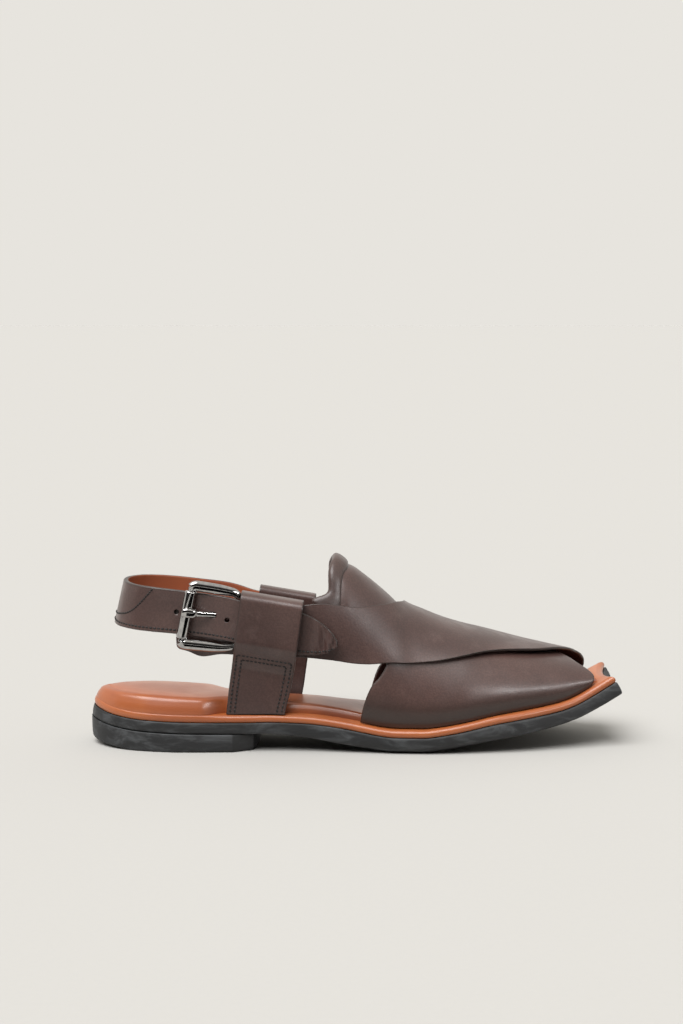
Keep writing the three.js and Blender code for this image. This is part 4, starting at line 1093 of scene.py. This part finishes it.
def tip_bend(share, up):
    """The tip stands away from the foot and is creased where it has been pulled through."""
    row = share * (len(HEEL_STRAP) - 1)
    near = 1 - smooth(0.1, 3.2, row)
    fold = np.sin(row * 5.2 + 3.0 * up) + 0.6 * np.sin(row * 9.5 - 4.0 * up + 1)
    crease = CREASE_HEIGHT * fold * smooth(0.15, 0.8, row) * (1 - smooth(1.6, 3.2, row))
    return near * TIP_OFF * (1 - up * 0.3) + crease * (1 - 0.5 * up)


def heel_strap_place(share, up, level):
    out = HEEL_STRAP_THICKNESS * (level / 2 - 0.5) + tip_bend(share, up)
    return heel_strap_point(share, up, out)


# %% Heel strap piece
heel_strap = plate(
    "heel_strap_leather",
    steps(190, 0.0015),
    steps(12, 0.03),
    3,
    heel_strap_place,
    (LINING_TAN, EDGE_PAINT, CALF),
)
belongs(heel_strap, "brown_leather", "heel_strap")

# %% [markdown]
# ## Buckle
# The frame is a cast steel rectangle, thick at the roller end and thin where it goes under the
# loop. A tube turns on the bar at its back, and a prong comes from the heel bar up through the
# strap and rests on the tube. All of it is polished and plated.

# %% Places on the buckle
BUCKLE_TILT = math.radians(7.4)
FRAME_LENGTH = 33.6
FRAME_HEIGHT = 33.0
BUCKLE_SHEAR = 0.07
BUCKLE_YAW = 0.07
ROD_HALF_WIDE = 3.1
ROD_HALF_THICK = 2.2
BAR_PLACE = -0.94
BUCKLE_MIDDLE = (0.2425 * SOLE_LENGTH, -0.3555 * BALL_WIDTH, 0.719 * INSTEP_HEIGHT)
# Share of the half length, of the half height above and below, and of the rod's full thickness
FRAME_LINE = [
    (BAR_PLACE, 0, 0, 0.48), (BAR_PLACE, 0.82, 0.82, 0.48), (-0.925, 0.9, 0.9, 0.92),
    (-0.845, 0.975, 0.985, 1), (-0.66, 0.98, 0.99, 1), (-0.2, 0.965, 0.985, 0.96),
    (0.15, 0.94, 0.98, 0.9), (0.5, 0.885, 0.955, 0.74),
    (0.81, 0.6, 0.86, 0.56), (1, 0.38, 0.45, 0.5), (1, 0, 0, 0.48),
]


def buckle_point(run, rise, out):
    """A place at a run along the buckle, a rise up it and a distance out from it."""
    forward = run + BUCKLE_SHEAR * rise
    x = BUCKLE_MIDDLE[0] + forward * math.cos(BUCKLE_TILT) + rise * math.sin(BUCKLE_TILT)
    z = BUCKLE_MIDDLE[2] - forward * math.sin(BUCKLE_TILT) + rise * math.cos(BUCKLE_TILT)
    return np.stack([x, BUCKLE_MIDDLE[1] + BUCKLE_YAW * run - out, z], -1)


def closed_through(points, share):
    """Places on a smooth closed line through points."""
    p = np.asarray(points, float)
    s = (share % 1) * len(p)
    i = s.astype(int) % len(p)
    t = (s - np.floor(s))[..., None]
    a, b = p[(i - 1) % len(p)], p[i]
    c, d = p[(i + 1) % len(p)], p[(i + 2) % len(p)]
    m, n = 0.4 * (c - a), 0.4 * (d - b)
    return b + m * t + (3 * (c - b) - 2 * m - n) * t**2 + (2 * (b - c) + m + n) * t**3


# %% Buckle frame
def frame_rows():
    up = [(r * FRAME_LENGTH / 2, a * FRAME_HEIGHT / 2, rod) for r, a, _, rod in FRAME_LINE]
    down = [(r * FRAME_LENGTH / 2, -b * FRAME_HEIGHT / 2, rod) for r, _, b, rod in FRAME_LINE]
    return up + down[1:-1][::-1]


def frame_place(share, angle):
    rows = frame_rows()
    here = closed_through(rows, share)
    ahead = closed_through(rows, share + 0.002) - closed_through(rows, share - 0.002)
    ahead = unit(ahead[:, :2])
    flat = ROD_HALF_WIDE * here[:, 2] * np.cos(angle)
    out = ROD_HALF_THICK * here[:, 2] * np.sin(angle)
    return buckle_point(here[:, 0] + flat * ahead[:, 1], here[:, 1] - flat * ahead[:, 0], out)


buckle_frame = primitive(
    bpy.ops.mesh.primitive_torus_add,
    "buckle_frame_steel",
    major_segments=96,
    minor_segments=16,
    major_radius=1,
    minor_radius=0.25,
)
ring = coordinates(buckle_frame.data)
reach = np.hypot(ring[:, 0], ring[:, 1]) - 1
turn = (np.arctan2(ring[:, 1], ring[:, 0]) / (2 * np.pi)) % 1
put(buckle_frame.data, frame_place(turn, np.arctan2(ring[:, 2], reach)))
buckle_frame.data.materials.append(GUNMETAL)
rounded(buckle_frame, 1)
belongs(buckle_frame, "gunmetal", "buckle_frame")

# %% Roller
ROLLER_HALF = 13.1


def roller_place(share, angle):
    """A tube with rolled ends: out along its skin, and back inside it."""
    out = np.array([-0.9, -1, -1, -0.985, -0.94, 0.94, 0.985, 1, 1, 0.9])
    wide = np.array([1.9, 1.95, 2.8, 3.1, 3.2, 3.2, 3.1, 2.8, 1.95, 1.9])
    k = np.rint(share).astype(int)
    rise = out[k] * ROLLER_HALF
    radius = wide[k]
    run = BAR_PLACE * FRAME_LENGTH / 2 + radius * np.cos(angle)
    return buckle_point(run, rise, radius * np.sin(angle))


buckle_roller = tube("buckle_roller_tube", np.arange(10), 48, roller_place, GUNMETAL, 0)
belongs(buckle_roller, "gunmetal", "buckle_roller")

# %% Prong
PRONG_THICK = 1.1
PRONG_WIDE = 1.6
PRONG_RISE = 1.6
# Share of the half length, how far out, and how thick and how wide the rod is
PRONG_LINE = [
    (1.105, 2.35, 0.4, 0.9), (1.0, 2.75, 0.42, 0.9), (0.86, 2.15, 0.45, 0.9), (0.72, 0.1, 0.6, 0.85),
    (0.45, -0.35, 0.72, 0.8), (0.12, -0.2, 0.75, 0.8), (-0.12, 0.6, 0.85, 0.85),
    (-0.4, 2.4, 0.95, 0.95), (-0.62, 3.95, 1.05, 1.05), (-0.7, 4.75, 1.3, 1.5),
    (-0.82, 4.85, 1.3, 1.55), (-1.0, 4.85, 1.2, 1.55), (-1.09, 4.5, 0.7, 1.1),
]


def prong_place(share, angle, grow=0.0):
    rows = [(run * FRAME_LENGTH / 2, out, thick, wide) for run, out, thick, wide in PRONG_LINE]
    here = through(rows, share)
    ahead = unit((through(rows, share + 0.004) - through(rows, share - 0.004))[:, :2])
    up = (here[:, 2] * PRONG_THICK + grow) * powered(np.sin(angle), 0.8)
    rise = PRONG_RISE + (here[:, 3] * PRONG_WIDE + grow) * powered(np.cos(angle), 0.8)
    return buckle_point(here[:, 0] - up * ahead[:, 1], rise, here[:, 1] + up * ahead[:, 0])


buckle_prong = tube("buckle_prong_steel", np.linspace(0, 1, 40), 16, prong_place, GUNMETAL)
belongs(buckle_prong, "gunmetal", "buckle_prong")

# %% [markdown]
# ## Holes in the strap
# The holes are punched, so their walls are straight and clean. Cutters are plain cylinders along
# the buckle's outward direction, and a thicker prong for the one that the prong passes through.
# The rear hole stops short of the lining, because it would show the far side of the strap.

# %% Punched holes
def cut(piece, cutter):
    only(piece)
    modifier = piece.modifiers.new("hole", "BOOLEAN")
    modifier.operation = "DIFFERENCE"
    modifier.solver = "EXACT"
    modifier.material_mode = "TRANSFER"
    modifier.object = cutter
    bpy.ops.object.modifier_apply(modifier=modifier.name)
    mesh = cutter.data
    bpy.data.objects.remove(cutter)
    bpy.data.meshes.remove(mesh)


HOLE_RADIUS = 1.4
PIN_REACH = 8.0
REAR_HOLE = -21.6
REAR_HOLE_DEPTH = 1.8


def strap_skin(run):
    """How far out the strap's outer face is at a run of the buckle."""
    share = np.linspace(0.05, 0.48, 800)
    face = heel_strap_point(share, 0.5 + 0 * share, HEEL_STRAP_THICKNESS / 2 + 0 * share)
    x = buckle_point(run, 0.0, 0.0)[0]
    k = np.argmin(np.abs(face[:, 0] - x) + 9 * (face[:, 1] > 0))
    return BUCKLE_MIDDLE[1] + BUCKLE_YAW * run - face[k, 1]


def pin_place(run, end):
    def place(share, angle):
        x = run + HOLE_RADIUS * np.cos(angle)
        return buckle_point(x, HOLE_RADIUS * np.sin(angle), mixed(end, PIN_REACH, share))

    return place


HOLE_PLACES = [(6.6, -PIN_REACH), (-12.2, -PIN_REACH)]
HOLE_PLACES.append((REAR_HOLE, strap_skin(REAR_HOLE) - REAR_HOLE_DEPTH))
for k, (run, end) in enumerate(HOLE_PLACES):
    cut(heel_strap, tube(f"pin_{k}", np.linspace(0, 1, 3), 20, pin_place(run, end), EDGE_PAINT, 0))
slot_cutter = tube(
    "prong_slot", np.linspace(0, 1, 30), 12, lambda s, a: prong_place(s, a, 0.35), EDGE_PAINT, 0
)
cut(heel_strap, slot_cutter)
print("heel strap", len(heel_strap.data.polygons), "faces after the holes")

# %% [markdown]
# ## Stitches
# The seams are sewn with dark waxed thread, about five stitches to the centimetre. One stitch is
# a small drawn-out ball. Its copies are laid end to end along each seam and sit half sunk.

# %% Stitch helper
def stitch_row(points, normals, pitch=2.2, length=1.85, radius=0.55):
    """Places of stitches along a line: centre, direction, side and normal of each."""
    pieces = np.linalg.norm(np.diff(points, axis=0), axis=1)
    run = np.concatenate([[0], np.cumsum(pieces)])
    count = max(int(run[-1] / pitch), 1)
    at = (np.arange(count) + 0.5) * run[-1] / count
    centre = np.stack([np.interp(at, run, points[:, k]) for k in range(3)], -1)
    ahead = np.stack([np.interp(at + 0.4, run, points[:, k]) for k in range(3)], -1)
    behind = np.stack([np.interp(at - 0.4, run, points[:, k]) for k in range(3)], -1)
    normal = unit(np.stack([np.interp(at, run, normals[:, k]) for k in range(3)], -1))
    along = unit(ahead - behind)
    side = unit(np.cross(normal, along))
    return centre, along * length / 2, side * radius, np.cross(along, side) * radius


def sewn(name, rows):
    """All the stitches of one piece as a single mesh."""
    add_ball = bpy.ops.mesh.primitive_uv_sphere_add
    ball = primitive(add_ball, "stitch", segments=7, ring_count=5, radius=1)
    shape = coordinates(ball.data)
    shape = np.stack([shape[:, 2], shape[:, 0], shape[:, 1]], -1)
    faces = [list(face.vertices) for face in ball.data.polygons]
    points, joined = [], []
    for centre, along, side, normal in rows:
        for c, a, s, n in zip(centre, along, side, normal):
            start = len(points) * len(shape)
            points.append(c + shape @ np.stack([a, s, n]))
            joined += [[start + k for k in face] for face in faces]
    mesh = bpy.data.meshes.new(name)
    mesh.from_pydata((np.concatenate(points) - MIDDLE) / 1000, [], joined)
    mesh.materials.append(THREAD)
    piece = bpy.data.objects.new(name, mesh)
    bpy.context.collection.objects.link(piece)
    bpy.data.objects.remove(ball)
    give(mesh, "rim", np.full(len(mesh.vertices), FAR_FROM_EDGE))
    rounded(piece, 0)
    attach(piece, "root")
    print(name, len(points), "stitches")
    return piece


def seam_on(surface, first, second, out):
    """Points and normals of a seam on a surface of two shares."""
    e = 0.002
    here = surface(first, second, out)
    one = surface(first + e, second, out) - surface(first - e, second, out)
    two = surface(first, second + e, out) - surface(first, second - e, out)
    higher = surface(first, second, out + 0.5)
    normal = unit(np.cross(one, two))
    facing = np.sign(np.sum(normal * (higher - here), axis=1, keepdims=True))
    return here, normal * facing


# %% Stitches of the heel strap
def strap_surface(share, up, out):
    return heel_strap_point(share, up, out + tip_bend(share, up))


HALF = HEEL_STRAP_THICKNESS / 2
LOW_SEAM = 0.09
LOW_SEAM_ENDS = (0.028, 0.985)
# Share of the strap's length, and of its width
SIDE_SEAM = [
    (0.459, 0.97), (0.469, 0.84), (0.489, 0.61), (0.508, 0.43), (0.528, 0.32), (0.566, 0.25),
    (0.6, 0.24),
]
lower = np.linspace(*LOW_SEAM_ENDS, 400)
line = seam_on(strap_surface, lower, LOW_SEAM + 0 * lower, HALF + 0 * lower)
rows = [stitch_row(*line)]
t = np.linspace(0, 1, 60)
arc = through(SIDE_SEAM, t)
line = seam_on(strap_surface, arc[:, 0], arc[:, 1], HALF + 0 * t)
rows.append(stitch_row(*line, pitch=1.7, length=1.6))
sewn("heel_strap_stitches", rows)


# %% Stitches of the side straps
def outer_face(strap):
    """The outer layer's face, at a height, a share across and a distance out."""
    doubled = sewn_place(strap)

    def surface(height, across, out):
        share = (strap["open"] - height) / (strap["open"] - strap["stitched"])
        middle = mixed(strap["outside"], doubled, smooth(0, 1, share))
        t = np.clip(share, 0, 1)
        drop = 6 * t * (1 - t) * (strap["outside"] - doubled) / (strap["open"] - strap["stitched"])
        return strap_point(strap, middle + out * np.hypot(drop, 1), height, across)

    return surface


SEAM_HEIGHT = 0.93
SEAM_INSETS = (2.0, 4.6)
for name, strap in SIDE_STRAPS.items():
    surface = outer_face(strap)
    foot, top = strap_foot(strap), strap["seam"]
    rows = []
    for edge in SEAM_INSETS:
        share = 1 - edge / (STRAP_WIDTH / 2)
        up = np.linspace(foot + 1.0, top - edge, 120)
        for sign in (-1, 1):
            line = seam_on(surface, up, sign * share + 0 * up, SEAM_HEIGHT + 0 * up)
            rows.append(stitch_row(*line))
        across = np.linspace(-share, share, 60)
        line = seam_on(surface, top - edge + 0 * across, across, SEAM_HEIGHT + 0 * across)
        rows.append(stitch_row(*line))
    sewn(name + "_stitches", rows)

# %% [markdown]
# ## Stage
# The photograph shows the shoe on a pale warm floor in soft light from above and in front.
# The floor has one even tone, and the world behind it has the same, so they meet without a line.

# %% Floor
SUN_SHARE = 1.25
WORLD_TONE = linear("#e7e4de")
FLOOR_GAIN = 1.093
JUST_UNDER = 0.0003


def floor_finish():
    """Matt paper whose lit tone is the world's own."""
    finish, tree, surface, where = finish_of("pale_studio_floor")
    tone = [FLOOR_GAIN * c / (SUN_SHARE + 0.8 * c) for c in WORLD_TONE[:3]]
    fibre = noise(tree, where, 3, 2, 0.5)
    light = (*[c * 1.004 for c in tone], 1)
    dark = (*[c * 0.996 for c in tone], 1)
    colour = blend(tree, span(tree, fibre, 0.3, 0.7), dark, light)
    tree.links.new(colour, surface.inputs["Base Color"])
    surface.inputs["Roughness"].default_value = 1.0
    surface.inputs["Specular IOR Level"].default_value = 0.0
    return finish


place = (0, 0, -JUST_UNDER)
floor = primitive(bpy.ops.mesh.primitive_plane_add, "studio_floor", size=60, location=place)
floor.data.materials.append(floor_finish())

# %% World
# Pale all round, but the room behind the photographer is dark up to about half its height.
world = bpy.data.worlds.new("studio_world")
world.use_nodes = True
sky = world.node_tree
sky.nodes.clear()
heading = add(sky, "SeparateXYZ", {"Vector": add(sky, "TexCoord").outputs["Generated"]})
front = span(sky, heading.outputs["Y"], -0.45, -0.05, 1.0, 0.0)
low = span(sky, heading.outputs["Z"], 0.42, 0.8, 1.0, 0.0)
shade = add(sky, "Math", {0: front, 1: low}, operation="MULTIPLY").outputs["Value"]
tone = blend(sky, shade, WORLD_TONE, linear("#2d2c2b"))
background = add(sky, "Background", {"Color": tone, "Strength": 1.0})
add(sky, "OutputWorld", {"Surface": background.outputs["Background"]})
scene = bpy.context.scene
scene.world = world


# %% Lights
def turned(place, aim, axis):
    """The turn that points an axis from a place at an aim."""
    return (Vector(aim) - Vector(place)).to_track_quat(axis, "Y").to_euler()


def lamp(name, kind, place, aim, **settings):
    data = bpy.data.lights.new(name, kind)
    for key, value in settings.items():
        setattr(data, key, value)
    light = bpy.data.objects.new(name, data)
    light.location = place
    light.rotation_euler = turned(place, aim, "-Z")
    bpy.context.collection.objects.link(light)
    return light


def card(name, place, aim, width, height, code, strength=0.0):
    """A reflection card: only shiny surfaces see it."""
    piece = primitive(bpy.ops.mesh.primitive_plane_add, name, size=1, location=place)
    piece.rotation_euler = turned(place, aim, "Z")
    piece.scale = (width, height, 1)
    finish, _, surface, _ = finish_of(name + "_card")
    surface.inputs["Base Color"].default_value = linear(code)
    surface.inputs["Specular IOR Level"].default_value = 0
    surface.inputs["Emission Color"].default_value = (1, 1, 1, 1)
    surface.inputs["Emission Strength"].default_value = strength
    piece.data.materials.append(finish)
    for ray in ("camera", "diffuse", "shadow", "transmission", "volume_scatter"):
        setattr(piece, "visible_" + ray, False)
    return piece


# A black card on the floor keeps the pale floor out of the reflections on the shoe's side. A
# white strip to the right is aimed at the outer side of the bands.
card("dark_low", (0.55, -0.6, 0.0015), (0.55, -0.6, 1), 1.3, 0.95, "#080808")
card("bright_right", (0.76, -0.77, 0.49), (0.08, -0.04, 0.03), 0.9, 0.055, "#ffffff", 36.0)
lamp(
    "soft_top", "SUN", (-0.55, -0.8, 1.5), (0, 0, 0),
    energy=SUN_SHARE * math.pi, angle=math.radians(48),
)

# %% Camera and view
LENS = 68.204
CAMERA_PLACE = (-0.0080733, -1.0919833, 0.242613)
LOOKS_DOWN = 5.9312
camera_data = bpy.data.cameras.new("camera")
camera_data.lens = LENS
camera_data.sensor_width = 36
camera_data.clip_end = 200
camera = bpy.data.objects.new("camera", camera_data)
camera.location = CAMERA_PLACE
camera.rotation_euler = (math.radians(90 - LOOKS_DOWN), 0, 0)
bpy.context.collection.objects.link(camera)
scene.camera = camera
scene.view_settings.view_transform = "Standard"
